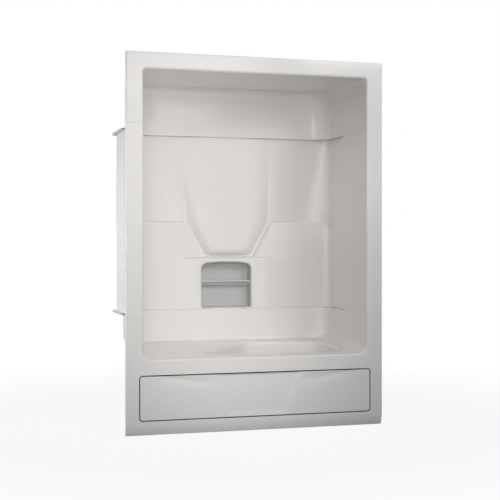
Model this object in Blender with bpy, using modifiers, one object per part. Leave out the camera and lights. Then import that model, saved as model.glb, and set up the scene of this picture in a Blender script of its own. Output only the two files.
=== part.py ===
"""A tub and shower unit for a three-wall alcove: three bolted mouldings, an access panel and its waste.

Metres, +Z up. The open front faces -Y, and the origin is at the middle of the footprint, on the floor.
Depths are measured back from the front face of the frame.
"""

import math

import bmesh
import bpy
from mathutils import Matrix, Vector

# Overall size and wall
UNIT_WIDTH = 1.524
UNIT_HEIGHT = 2.130
UNIT_DEPTH = 0.813
SHELL = 0.005
FIT_GAP = 0.0003
CUT_OVERRUN = 0.010

# Front frame
JAMB_WIDTH = 0.098
HEADER_HEIGHT = 0.095
OPENING_ROUND = 0.014
FRAME_EDGE_ROUND = 0.006
FLANGE_WIDTH = 0.030

# Joints between the mouldings
LOWER_JOINT_HEIGHT = 0.654
ROOF_CAP_HEIGHT = 0.393
SEAL_THICKNESS = 0.001

# Depths of the wall surfaces
BAND_DEPTH = 0.695
PANEL_DEPTH = 0.718
BLOCK_DEPTH = 0.700
POCKET_TOP_DEPTH = 0.726
ROOF_BACK_DEPTH = 0.702
FRONT_ZONE_DEPTH = 0.380
STEP_RUN = 0.008
SIDE_RECESS = 0.033

# Plan corners, across and along the depth
BAND_CORNER = (0.090, 0.060)
PANEL_CORNER = (0.045, 0.040)
POCKET_CORNER = (0.170, 0.100)
POCKET_TOP_CORNER = (0.060, 0.045)
ROOF_CORNER = (0.150, 0.130)
ROOF_CORNER_GROWTH = 0.080

# Shelf line, notch, centre column and niche block
SHELF_RISE = 0.218
SHELF_DIP = 0.024
SHELF_EDGE = 0.008
SHELF_FALL = 0.002
POCKET_FOOT_ROUND = 0.010
POCKET_BACK_CLEARANCE = 0.0011
NOTCH_RISE = 0.010
NOTCH_FOOT_HALF = 0.172
NOTCH_TOP_HALF = 0.308
COLUMN_HALF = 0.238
COLUMN_SIDE_RUN = 0.012
COLUMN_CROWN = 0.012
COLUMN_TAPER_RUN = 0.065
COLUMN_FOOT_INSET = 0.040
COLUMN_CHIN = 0.075
BLOCK_HALF = 0.262
BLOCK_SIDE_RUN = 0.024
BLOCK_HEAD = 0.028
BLOCK_EDGE = 0.008

# Tub
RIM_HEIGHT = 0.421
DECK_RISE = 0.036
TUB_COVE = 0.052
DECK_BACK_COVE = 0.020
BASIN_LEFT_LEDGE = 0.249
BASIN_RIGHT_LEDGE = 0.084
BASIN_MIDDLE_DEPTH = 0.345
BASIN_HALF_DEPTH = 0.245
BACKREST_RUN = 0.210
DRAIN_END_RUN = 0.055
BASIN_FLOOR_HALF_DEPTH = 0.165
BASIN_FLOOR_HEIGHT = 0.089
BASIN_EDGE_ROUND = 0.020
BASIN_FLOOR_FALL = 0.004
DRAIN_INSET = 0.065
DRAIN_SEAT_HEIGHT = 0.080
DRAIN_SEAT_RADIUS = 0.038
DRAIN_HOLE_RADIUS = 0.0225

# Roof
ROOF_CEILING_COVE = 0.017
ROOF_COVE_GROWTH = 0.085
ROOF_BACK_COVE = 0.050

# Access panel and what holds it
ACCESS_SIDE_MARGIN = 0.075
ACCESS_BOTTOM = 0.080
ACCESS_DROP = 0.089
ACCESS_ROUND = 0.018
PANEL_SHADOW_GAP = 0.003
RELIEF_DEPTH = 0.009
RELIEF_SLOPE = 0.014
RELIEF_TOP_HALF = 0.232
RELIEF_FOOT_HALF = 0.150
RELIEF_FOOT_RISE = 0.038
SWOOSH_DEPTH = 0.006
SWOOSH_INNER_HALF = 0.262
SWOOSH_INNER_DROP = 0.048
SWOOSH_OUTER_INSET = 0.087
SWOOSH_OUTER_DROP = 0.008
LANDING_LAP = 0.016
LANDING_LIP = 0.022
LANDING_END = 0.062
LANDING_THICKNESS = 0.006
STUD_RADIUS = 0.0033
STUD_LENGTH = 0.014
STUD_CLEARANCE = 0.0004
STUD_INSET = 0.009
SOCKET_WALL = 0.003
SOCKET_FLANGE = 0.0025
SOCKET_FLANGE_THICKNESS = 0.002

# Niche insert and bar
NICHE_HALF_WIDTH = 0.163
NICHE_FOOT_RISE = 0.010
NICHE_HEIGHT = 0.282
NICHE_CROWN = 0.005
NICHE_TOP_ROUND = 0.045
NICHE_BOTTOM_ROUND = 0.012
INSERT_WALL = 0.003
INSERT_DEPTH = 0.094
INSERT_FLANGE = 0.010
INSERT_FOOT_FLANGE = 0.003
INSERT_SETBACK = 0.002
NICHE_SEAL_THICKNESS = 0.0015
SOAP_SHELF_RISE = 0.139
SOAP_SHELF_THICKNESS = 0.012
SOAP_SHELF_DEPTH = 0.042
BAR_RADIUS = 0.008
BAR_RISE = 0.025
BAR_SETBACK = 0.026
BAR_BOSS_WALL = 0.004
BAR_BOSS_LENGTH = 0.006

# Flange bolts
BOLT_RADIUS = 0.003
BOLT_HOLE_CLEARANCE = 0.0006
BOLT_HEAD_RADIUS = 0.0055
BOLT_HEAD_HEIGHT = 0.004
NUT_HEIGHT = 0.005
BOLT_TAIL = 0.003
BOLT_FLANGE_OFFSET = 0.018
BACK_BOLT_HALF = 0.200
BACK_BOLT_INSET = 0.177
SIDE_BOLT_DEPTH = 0.300
JAMB_BOLT_INSET = 0.045

# Base board and runners
BOARD_THICKNESS = 0.012
BOARD_WIDTH = 0.620
BOARD_BACKREST_INSET = 0.025
BOARD_DRAIN_CLEARANCE = 0.080
RUNNER_WIDTH = 0.038
RUNNER_SPACING = 0.520

# Drain
DRAIN_FLANGE_RADIUS = 0.036
DRAIN_FLANGE_THICKNESS = 0.003
DRAIN_BODY_RADIUS = 0.0218
DRAIN_BODY_WALL = 0.003
DRAIN_BODY_LENGTH = 0.034
CROSSBAR_WIDTH = 0.008
CROSSBAR_THICKNESS = 0.004
CROSSBAR_DROP = 0.022
POST_RADIUS = 0.003
STOPPER_RADIUS = 0.0255
STOPPER_THICKNESS = 0.005
STOPPER_HUB_WALL = 0.003
STOPPER_HUB_LENGTH = 0.012
STOPPER_LIFT = 0.009
STOPPER_TRAVEL = 0.0084
STOPPER_SEAL_RADIUS = 0.0215
STOPPER_SEAL_THICKNESS = 0.002
POST_CLEARANCE = 0.0005
SHOE_GASKET_THICKNESS = 0.003
SHOE_FLANGE_RADIUS = 0.034
SHOE_FLANGE_THICKNESS = 0.004
SHOE_WALL = 0.0035
WASTE_AXIS_HEIGHT = 0.0435

# Waste pipes
PIPE_RADIUS = 0.019
PIPE_WALL = 0.002
SOCKET_BODY_WALL = 0.003
SOCKET_REACH = 0.030
SOCKET_DEPTH = 0.018
TEE_EXTRA_WALL = 0.0015
SLIP_NUT_WALL = 0.006
SLIP_NUT_LENGTH = 0.014
TAIL_CLEARANCE = 0.003

# Overflow
OVERFLOW_DROP = 0.056
OVERFLOW_HOLE_RADIUS = 0.026
OVERFLOW_PLATE_RADIUS = 0.036
OVERFLOW_PLATE_THICKNESS = 0.003
OVERFLOW_PLATE_DOME = 0.003
OVERFLOW_SLOT = (0.026, 0.007)
OVERFLOW_SLOT_DROP = 0.013
OVERFLOW_SCREW_SPREAD = 0.0205
OVERFLOW_SCREW_RADIUS = 0.002
OVERFLOW_SCREW_HEAD = 0.004
OVERFLOW_SCREW_LENGTH = 0.016
OVERFLOW_GASKET_THICKNESS = 0.004
ELBOW_FLANGE_RADIUS = 0.034
ELBOW_FLANGE_THICKNESS = 0.005
ELBOW_BORE = 0.014
ELBOW_REACH = 0.066
ELBOW_LEG = 0.046

# Fineness of the round work
ROUND_STEPS = 20
SMALL_ROUND_STEPS = 12
BOLT_SIDES = 6
HOLE_SIDES = 8
CORNER_STEPS = 4
ROUND_ARC_STEPS = 2
COVE_STEPS = 4
BASIN_EDGE_STEPS = 2
OUTLINE_ARC_STEPS = 4
MERGE_DISTANCE = 0.00001

# Shares chosen by hand
NOTCH_COLUMN_SHARES = (0.0, 0.26, 0.52, 0.76, 1.0)
OUTER_BACK_SHARES = (0.4, 1.0)
STATION_SHARES = (0.0, 0.19, 0.44, 0.63, 0.80, 1.0)
FLOOR_SHARES = (1.0, 0.88, 0.74, 0.60, 0.45, 0.30, 0.15, 0.0)
WALL_SHARES = (0.0, 0.5, 1.0)
POCKET_ROW_SHARES = (0.05, 0.10, 0.15, 0.21, 0.30, 0.46, 0.64, 0.82)
PANEL_ROW_SHARES = (0.45,)
BASIN_WALL_SHARES = ((0.12, 0.34), (0.26, 0.58), (0.44, 0.78), (0.70, 0.94), (1.0, 1.0))
BASIN_BACKREST_SQUARENESS_SHARE = 2.1
BASIN_DRAIN_END_SQUARENESS_SHARE = 4.0
RELIEF_COLUMN_SHARES = (0.0, 0.5, 1.0)
HALFWAY_SHARE = 0.5
STOPPER_CROWN_SHARES = ((0.7, 0.125), (1.0, 0.5))
STOPPER_BORE_SHARE = 1 / 3
PLATE_DOME_SHARES = ((0.5, 0.75), (0.85, 0.25))

# Places worked out from the sizes above
FRONT = -UNIT_DEPTH / 2
OUTER_HALF = UNIT_WIDTH / 2
OPENING_HALF = OUTER_HALF - JAMB_WIDTH
REAR_HALF = OPENING_HALF + SIDE_RECESS
CEILING_HEIGHT = UNIT_HEIGHT - HEADER_HEIGHT
UPPER_JOINT_HEIGHT = UNIT_HEIGHT - ROOF_CAP_HEIGHT
NICHE_BOTTOM = LOWER_JOINT_HEIGHT + NICHE_FOOT_RISE
NICHE_TOP = NICHE_BOTTOM + NICHE_HEIGHT
SOAP_SHELF_HEIGHT = NICHE_BOTTOM + SOAP_SHELF_RISE
BAR_HEIGHT = SOAP_SHELF_HEIGHT + BAR_RISE
BLOCK_TOP = NICHE_TOP + BLOCK_HEAD
NOTCH_HEIGHT = BLOCK_TOP + NOTCH_RISE
SHELF_HEIGHT = NOTCH_HEIGHT + SHELF_RISE
DECK_BACK_HEIGHT = RIM_HEIGHT + DECK_RISE
BASIN_LEFT = BASIN_LEFT_LEDGE - OPENING_HALF
BASIN_RIGHT = OPENING_HALF - BASIN_RIGHT_LEDGE
BASIN_CENTRE = ((BASIN_LEFT + BASIN_RIGHT) / 2, BASIN_MIDDLE_DEPTH)
BASIN_HALF = ((BASIN_RIGHT - BASIN_LEFT) / 2, BASIN_HALF_DEPTH)
FLOOR_LEFT = BASIN_LEFT + BACKREST_RUN
FLOOR_RIGHT = BASIN_RIGHT - DRAIN_END_RUN
BASIN_FLOOR_CENTRE = ((FLOOR_LEFT + FLOOR_RIGHT) / 2, BASIN_MIDDLE_DEPTH)
BASIN_FLOOR_HALF = ((FLOOR_RIGHT - FLOOR_LEFT) / 2, BASIN_FLOOR_HALF_DEPTH)
DRAIN_X = FLOOR_RIGHT - DRAIN_INSET
BOARD_LEFT = FLOOR_LEFT + BOARD_BACKREST_INSET
BOARD_RIGHT = DRAIN_X - BOARD_DRAIN_CLEARANCE
ACCESS_HALF_WIDTH = OUTER_HALF - ACCESS_SIDE_MARGIN
LANDING_GAP_HALF = ACCESS_HALF_WIDTH - LANDING_END
SWOOSH_OUTER_HALF = ACCESS_HALF_WIDTH - SWOOSH_OUTER_INSET
BACK_BOLT_HALVES = (BACK_BOLT_HALF, REAR_HALF - BACK_BOLT_INSET)
ACCESS_TOP = RIM_HEIGHT - ACCESS_DROP
RELIEF_FOOT_HEIGHT = ACCESS_BOTTOM + RELIEF_FOOT_RISE
SWOOSH_INNER_HEIGHT = ACCESS_TOP - SWOOSH_INNER_DROP
SWOOSH_OUTER_HEIGHT = ACCESS_TOP - SWOOSH_OUTER_DROP
POCKET_DEPTH = UNIT_DEPTH - SHELL - POCKET_BACK_CLEARANCE
JOINT_GAP = SEAL_THICKNESS + 2 * FIT_GAP
LOWER_JOINT_FOOT = LOWER_JOINT_HEIGHT - JOINT_GAP / 2
LOWER_JOINT_TOP = LOWER_JOINT_HEIGHT + JOINT_GAP / 2
UPPER_JOINT_FOOT = UPPER_JOINT_HEIGHT - JOINT_GAP / 2
UPPER_JOINT_TOP = UPPER_JOINT_HEIGHT + JOINT_GAP / 2
EYE = Vector((0, FRONT - UNIT_DEPTH, UNIT_HEIGHT / 2))

# Finishes: colour, roughness, metallic
FINISHES = {
    "acrylic": ((0.82, 0.81, 0.80), 0.18, 0.0),
    "grey_insert": ((0.45, 0.45, 0.45), 0.30, 0.0),
    "seal": ((0.75, 0.75, 0.74), 0.60, 0.0),
    "rubber": ((0.05, 0.05, 0.05), 0.70, 0.0),
    "steel": ((0.55, 0.55, 0.56), 0.35, 1.0),
    "chrome": ((0.70, 0.70, 0.72), 0.12, 1.0),
    "plastic": ((0.78, 0.78, 0.76), 0.45, 0.0),
    "board": ((0.55, 0.40, 0.24), 0.80, 0.0),
}


def empty_scene():
    for obj in list(bpy.data.objects):
        bpy.data.objects.remove(obj, do_unlink=True)
    parts = bpy.data.collections.new("tub_shower_unit")
    cutters = bpy.data.collections.new("cutters")
    cutters.hide_render = True
    for collection in (parts, cutters):
        bpy.context.scene.collection.children.link(collection)
    return parts, cutters


PARTS, CUTTERS = empty_scene()


def finish(name):
    """The finish of that name, made the first time it is used."""
    found = bpy.data.materials.get(name)
    if found:
        return found
    colour, roughness, metallic = FINISHES[name]
    made = bpy.data.materials.new(name)
    made.use_nodes = True
    shader = made.node_tree.nodes["Principled BSDF"]
    shader.inputs["Base Color"].default_value = (*colour, 1.0)
    shader.inputs["Roughness"].default_value = roughness
    shader.inputs["Metallic"].default_value = metallic
    return made


def add_part(name, mesh, finish_name, place=None):
    """A piece of the unit with its own copy of a finish."""
    obj = bpy.data.objects.new(name, mesh)
    if not mesh.materials:
        mesh.materials.append(None)
    own = finish(finish_name).copy()
    own.name = f"{name}_finish"
    obj.material_slots[0].link = "OBJECT"
    obj.material_slots[0].material = own
    PARTS.objects.link(obj)
    obj.matrix_world = place or Matrix.Identity(4)
    return obj


def add_cutter(name, mesh, place=None):
    """A shape that only cuts or joins, kept out of the render."""
    obj = bpy.data.objects.new(name, mesh)
    CUTTERS.objects.link(obj)
    obj.matrix_world = place or Matrix.Identity(4)
    obj.hide_render = True
    obj.display_type = "WIRE"
    return obj


def combine(obj, other, operation):
    boolean = obj.modifiers.new(other.name, "BOOLEAN")
    boolean.operation = operation
    boolean.object = other
    return obj


def at(x, depth, z):
    """A point given by its distance from the middle, its depth behind the front face and its height."""
    return Vector((x, FRONT + depth, z))


def between(low, high, share):
    return low + (high - low) * share


def smooth(share):
    share = min(1.0, max(0.0, share))
    return share * share * (3 - 2 * share)


def mirrored(half):
    """A whole row from its right half, which starts on the middle plane."""
    return [Vector((-p.x, p.y, p.z)) for p in reversed(half[1:])] + half


def skin(bm, rows, closed=False):
    """Faces between each row of points and the next."""
    made = [[bm.verts.new(point) for point in row] for row in rows]
    for lower, upper in zip(made, made[1:]):
        count = len(lower)
        for here in range(count if closed else count - 1):
            after = (here + 1) % count
            bm.faces.new((lower[here], lower[after], upper[after], upper[here]))


def sheet_object(name, bm, finish_name, eye=EYE):
    """Turns a skin into a moulding: welded, facing the user, with its wall thickness behind."""
    bmesh.ops.remove_doubles(bm, verts=bm.verts, dist=MERGE_DISTANCE)
    bmesh.ops.dissolve_degenerate(bm, edges=bm.edges, dist=MERGE_DISTANCE)
    bmesh.ops.recalc_face_normals(bm, faces=bm.faces)
    facing = sum(face.normal.dot(eye - face.calc_center_median()) * face.calc_area() for face in bm.faces)
    if facing < 0:
        bmesh.ops.reverse_faces(bm, faces=bm.faces)
    mesh = bpy.data.meshes.new(name)
    bm.to_mesh(mesh)
    bm.free()
    mesh.shade_smooth()
    mesh.set_sharp_from_angle(angle=math.radians(35))
    obj = add_part(name, mesh, finish_name)
    wall = obj.modifiers.new("wall", "SOLIDIFY")
    wall.thickness = SHELL
    wall.offset = -1
    wall.use_even_offset = True
    return obj


def rod_mesh(name, start, end, radius, sides=ROUND_STEPS):
    """A closed cylinder from one point to another."""
    return rods_mesh(name, [(start, end)], radius, sides)


def rods_mesh(name, spans, radius, sides=ROUND_STEPS):
    """Several closed cylinders as one mesh, for cutters and joined pieces."""
    bm = bmesh.new()
    for start, end in spans:
        axis = end - start
        turn = axis.to_track_quat("Z", "Y").to_matrix().to_4x4()
        place = Matrix.Translation((start + end) / 2) @ turn
        bmesh.ops.create_cone(
            bm, cap_ends=True, segments=sides, radius1=radius, radius2=radius, depth=axis.length, matrix=place
        )
    mesh = bpy.data.meshes.new(name)
    bm.to_mesh(mesh)
    bm.free()
    return mesh


def box_mesh(name, low, high):
    bm = bmesh.new()
    size = Vector(high) - Vector(low)
    place = Matrix.Translation((Vector(low) + Vector(high)) / 2) @ Matrix.Diagonal((*size, 1.0))
    bmesh.ops.create_cube(bm, size=1.0, matrix=place)
    mesh = bpy.data.meshes.new(name)
    bm.to_mesh(mesh)
    bm.free()
    return mesh


def turned_mesh(name, profile, steps=ROUND_STEPS, place=None):
    """A body turned about its Z axis from a profile of (radius, height), which runs down its outer side."""
    closed = profile[0][0] > 0
    count = len(profile)
    edges = [(i, i + 1) for i in range(count - 1)] + ([(count - 1, 0)] if closed else [])
    mesh = bpy.data.meshes.new(name)
    mesh.from_pydata([(radius, 0, height) for radius, height in profile], edges, [])
    guide = add_cutter(f"{name}_turn", mesh)
    screw = guide.modifiers.new("turn", "SCREW")
    screw.steps = steps
    screw.render_steps = steps
    screw.use_merge_vertices = True
    screw.merge_threshold = MERGE_DISTANCE
    solid = meshed(guide)
    if place:
        solid.transform(place)
    return solid


def meshed(guide):
    """The mesh of an evaluated guide object, which is then removed."""
    graph = bpy.context.evaluated_depsgraph_get()
    graph.update()
    mesh = bpy.data.meshes.new_from_object(guide.evaluated_get(graph))
    bm = bmesh.new()
    bm.from_mesh(mesh)
    bmesh.ops.remove_doubles(bm, verts=bm.verts, dist=MERGE_DISTANCE)
    bmesh.ops.recalc_face_normals(bm, faces=bm.faces)
    bm.transform(guide.matrix_world)
    bm.to_mesh(mesh)
    bm.free()
    bpy.data.objects.remove(guide, do_unlink=True)
    return mesh


def plate_mesh(name, outline, front_depth, back_depth):
    """A flat plate across the unit, between two depths, from an outline of (x, z) points."""
    curve = bpy.data.curves.new(name, "CURVE")
    curve.dimensions = "2D"
    curve.fill_mode = "BOTH"
    curve.extrude = (back_depth - front_depth) / 2
    spline = curve.splines.new("POLY")
    spline.points.add(len(outline) - 1)
    for point, (x, z) in zip(spline.points, outline):
        point.co = (x, z, 0, 1)
    spline.use_cyclic_u = True
    guide = bpy.data.objects.new(name, curve)
    CUTTERS.objects.link(guide)
    middle = at(0, (front_depth + back_depth) / 2, 0)
    guide.matrix_world = Matrix.Translation(middle) @ Matrix.Rotation(math.pi / 2, 4, "X")
    bpy.context.view_layer.update()
    return meshed(guide)


def arc(centre, radius, start, end, steps):
    """Points of an arc about (x, z), with angles in degrees."""
    points = []
    for step in range(steps + 1):
        angle = math.radians(between(start, end, step / steps))
        points.append((centre[0] + radius * math.cos(angle), centre[1] + radius * math.sin(angle)))
    return points


def rounded_outline(half_width, bottom, top, radius):
    """A rectangle with round corners, anticlockwise from its lower right corner."""
    x = half_width - radius
    low = bottom + radius
    high = top - radius
    return (
        arc((x, low), radius, -90, 0, OUTLINE_ARC_STEPS)
        + arc((x, high), radius, 0, 90, OUTLINE_ARC_STEPS)
        + arc((-x, high), radius, 90, 180, OUTLINE_ARC_STEPS)
        + arc((-x, low), radius, 180, 270, OUTLINE_ARC_STEPS)
    )


def niche_outline(grow, foot_grow=None):
    """The niche's outline, with a slightly arched top, grown outwards by a distance, and less at its foot."""
    half = NICHE_HALF_WIDTH + grow
    bottom = NICHE_BOTTOM - (grow if foot_grow is None else foot_grow)
    top = NICHE_TOP + grow
    low_round = NICHE_BOTTOM_ROUND
    high_round = NICHE_TOP_ROUND + grow
    x_low = half - low_round
    x_high = half - high_round
    z_high = top - high_round
    return (
        arc((x_low, bottom + low_round), low_round, -90, 0, OUTLINE_ARC_STEPS)
        + arc((x_high, z_high), high_round, 0, 90, OUTLINE_ARC_STEPS)
        + [(0, top + NICHE_CROWN)]
        + arc((-x_high, z_high), high_round, 90, 180, OUTLINE_ARC_STEPS)
        + arc((-x_low, bottom + low_round), low_round, 180, 270, OUTLINE_ARC_STEPS)
    )


def half_section(back, columns, rear_half, corner, level):
    """Right half of a level section of the walls and the jamb, from the middle of the back wall.

    back gives the depth of the back wall at an x, and level the height at an x and a share of the corner's width.
    """
    across, along = corner
    corner_x = rear_half - across
    inner = columns[-1]
    xs = list(columns) + [between(inner, corner_x, share) for share in OUTER_BACK_SHARES]
    points = [at(x, back(x, level(x, 0)), level(x, 0)) for x in xs]
    depth = back(corner_x, level(corner_x, 0))
    for step in range(1, CORNER_STEPS + 1):
        angle = math.pi / 2 * step / CORNER_STEPS
        x = corner_x + across * math.sin(angle)
        points.append(at(x, depth - along * (1 - math.cos(angle)), level(x, math.sin(angle))))
    z = level(rear_half, 1)
    points.append(at(rear_half, FRONT_ZONE_DEPTH + STEP_RUN, z))
    points += front_section(level(OPENING_HALF, 0) if rear_half == OPENING_HALF else z)
    return points


def front_section(z):
    """The plain front part of the side wall, the rounded edge of the opening, the jamb and its return."""
    points = [at(OPENING_HALF, FRONT_ZONE_DEPTH, z), at(OPENING_HALF, OPENING_ROUND, z)]
    for step in range(1, ROUND_ARC_STEPS + 1):
        angle = math.pi / 2 * step / ROUND_ARC_STEPS
        out = OPENING_ROUND * (1 - math.cos(angle))
        points.append(at(OPENING_HALF + out, OPENING_ROUND * (1 - math.sin(angle)), z))
    points.append(at(OUTER_HALF - FRAME_EDGE_ROUND, 0, z))
    points.append(at(OUTER_HALF, FRAME_EDGE_ROUND, z))
    points.append(at(OUTER_HALF, FLANGE_WIDTH, z))
    return points


def joint_tip(points, count_back, back_depth):
    """The outer edge of a joint flange, point for point with the half section that it goes round."""
    z = points[0].z
    side_half = REAR_HALF + FLANGE_WIDTH
    front_half = OPENING_HALF + FLANGE_WIDTH
    tip_depth = back_depth + FLANGE_WIDTH
    corner_x = side_half - PANEL_CORNER[0] - FLANGE_WIDTH
    along = PANEL_CORNER[1] + FLANGE_WIDTH
    last_back = points[count_back - 1].x
    tip = [at(p.x * corner_x / last_back, tip_depth, z) for p in points[:count_back]]
    for step in range(1, CORNER_STEPS + 1):
        angle = math.pi / 2 * step / CORNER_STEPS
        x = between(corner_x, side_half, math.sin(angle))
        tip.append(at(x, tip_depth - along * (1 - math.cos(angle)), z))
    tip.append(at(side_half, FRONT_ZONE_DEPTH + STEP_RUN - FLANGE_WIDTH, z))
    frame_points = 3
    for p in points[len(tip) : -frame_points]:
        tip.append(at(front_half, max(FLANGE_WIDTH, p.y - FRONT - FLANGE_WIDTH), z))
    return tip + [at(OUTER_HALF, FLANGE_WIDTH, z)] * frame_points


def notch_line(x):
    """Height of the edge over the lower wall panel: level shelves, and a notch with slanting sides."""
    share = (abs(x) - NOTCH_FOOT_HALF) / (NOTCH_TOP_HALF - NOTCH_FOOT_HALF)
    return between(NOTCH_HEIGHT, SHELF_HEIGHT, min(1.0, max(0.0, share)))


def pocket_share(z):
    """How far the recess over the shelves has deepened at a height: 0 at the upper ledge, 1 at the shelf."""
    return min(1.0, max(0.0, (UPPER_JOINT_HEIGHT - z) / (UPPER_JOINT_HEIGHT - SHELF_HEIGHT)))


def column_share(x, z):
    """1 on the face of the centre column and 0 off it. Below the shelves it narrows with the notch."""
    below = min(1.0, max(0.0, (SHELF_HEIGHT - z) / (SHELF_HEIGHT - NOTCH_HEIGHT)))
    foot_half = NOTCH_FOOT_HALF - COLUMN_FOOT_INSET
    outer = between(COLUMN_HALF + COLUMN_SIDE_RUN, foot_half, below)
    run = between(COLUMN_SIDE_RUN, COLUMN_TAPER_RUN, smooth(2 * below))
    across = smooth((outer - abs(x)) / run)
    return across * smooth((z - NOTCH_HEIGHT) / COLUMN_CHIN)


def recess_depth(x, z):
    """Depth of the wall over the shelves and in the notch: the pockets, with the centre column in them."""
    pocket = between(POCKET_TOP_DEPTH, POCKET_DEPTH, pocket_share(z))
    crown = COLUMN_CROWN * (1 - (x / COLUMN_HALF) ** 2)
    face = POCKET_TOP_DEPTH - max(0.0, crown)
    return between(pocket, face, column_share(x, z))


def recess_foot_depth(x, z):
    """Depth of the recess at the shelf, in front of the rounded foot of the wall over it."""
    return recess_depth(x, z) - POCKET_FOOT_ROUND


def block_depth(x, z):
    """Depth of the lower wall with the niche block standing out of it."""
    share = (abs(x) - BLOCK_HALF) / BLOCK_SIDE_RUN
    return between(BLOCK_DEPTH, PANEL_DEPTH, min(1.0, max(0.0, share)))


def panel_depth(x, z):
    return PANEL_DEPTH


def shelf_level(offset):
    """A level that follows the shelf and notch line and dips at the room corners."""

    def level(x, corner_share):
        return notch_line(x) - SHELF_DIP * smooth(corner_share) + offset

    return level


def flat_level(height):
    def level(x, corner_share):
        return height

    return level


def blended_level(low, high, share):
    def level(x, corner_share):
        return between(low(x, corner_share), high(x, corner_share), share)

    return level


def make_wall_surround():
    """The moulded wall section: lofted through its own ledge, shelf, notch and block lines."""
    middle = [NOTCH_FOOT_HALF * share for share in NOTCH_COLUMN_SHARES]
    slant = [COLUMN_HALF - COLUMN_SIDE_RUN * 2, COLUMN_HALF, COLUMN_HALF + COLUMN_SIDE_RUN, BLOCK_HALF]
    columns = [*middle, *slant, BLOCK_HALF + BLOCK_SIDE_RUN, NOTCH_TOP_HALF]
    low = flat_level(LOWER_JOINT_TOP)
    block_top = flat_level(BLOCK_TOP - BLOCK_EDGE)
    block_back = flat_level(BLOCK_TOP)
    edge = shelf_level(-SHELF_EDGE)
    shelf = shelf_level(0)
    shelf_back = shelf_level(SHELF_FALL)
    foot = shelf_level(SHELF_FALL + POCKET_FOOT_ROUND)
    top = flat_level(UPPER_JOINT_FOOT)

    def edge_depth(x, z):
        return PANEL_DEPTH + SHELF_EDGE

    def pocket_row(level, back=recess_depth):
        share = pocket_share(level(REAR_HALF, 0))
        corner = tuple(between(POCKET_TOP_CORNER[i], POCKET_CORNER[i], share) for i in (0, 1))
        return half_section(back, columns, REAR_HALF, corner, level)

    def panel_row(back, level):
        return half_section(back, columns, REAR_HALF, PANEL_CORNER, level)

    first = panel_row(block_depth, low)
    count_back = len(columns) + len(OUTER_BACK_SHARES)
    halves = [
        joint_tip(first, count_back, PANEL_DEPTH),
        first,
        panel_row(block_depth, blended_level(low, block_top, 0.5)),
        panel_row(block_depth, block_top),
        panel_row(panel_depth, block_back),
    ]
    halves += [panel_row(panel_depth, blended_level(block_back, edge, share)) for share in PANEL_ROW_SHARES]
    halves += [panel_row(panel_depth, edge), panel_row(edge_depth, shelf)]
    halves += [pocket_row(shelf_back, recess_foot_depth), pocket_row(foot)]
    halves += [pocket_row(blended_level(foot, top, share)) for share in POCKET_ROW_SHARES]
    last = pocket_row(top)
    halves += [last, joint_tip(last, count_back, POCKET_TOP_DEPTH)]
    bm = bmesh.new()
    skin(bm, [mirrored(half) for half in halves])
    return sheet_object("wall_surround", bm, "acrylic")


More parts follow.
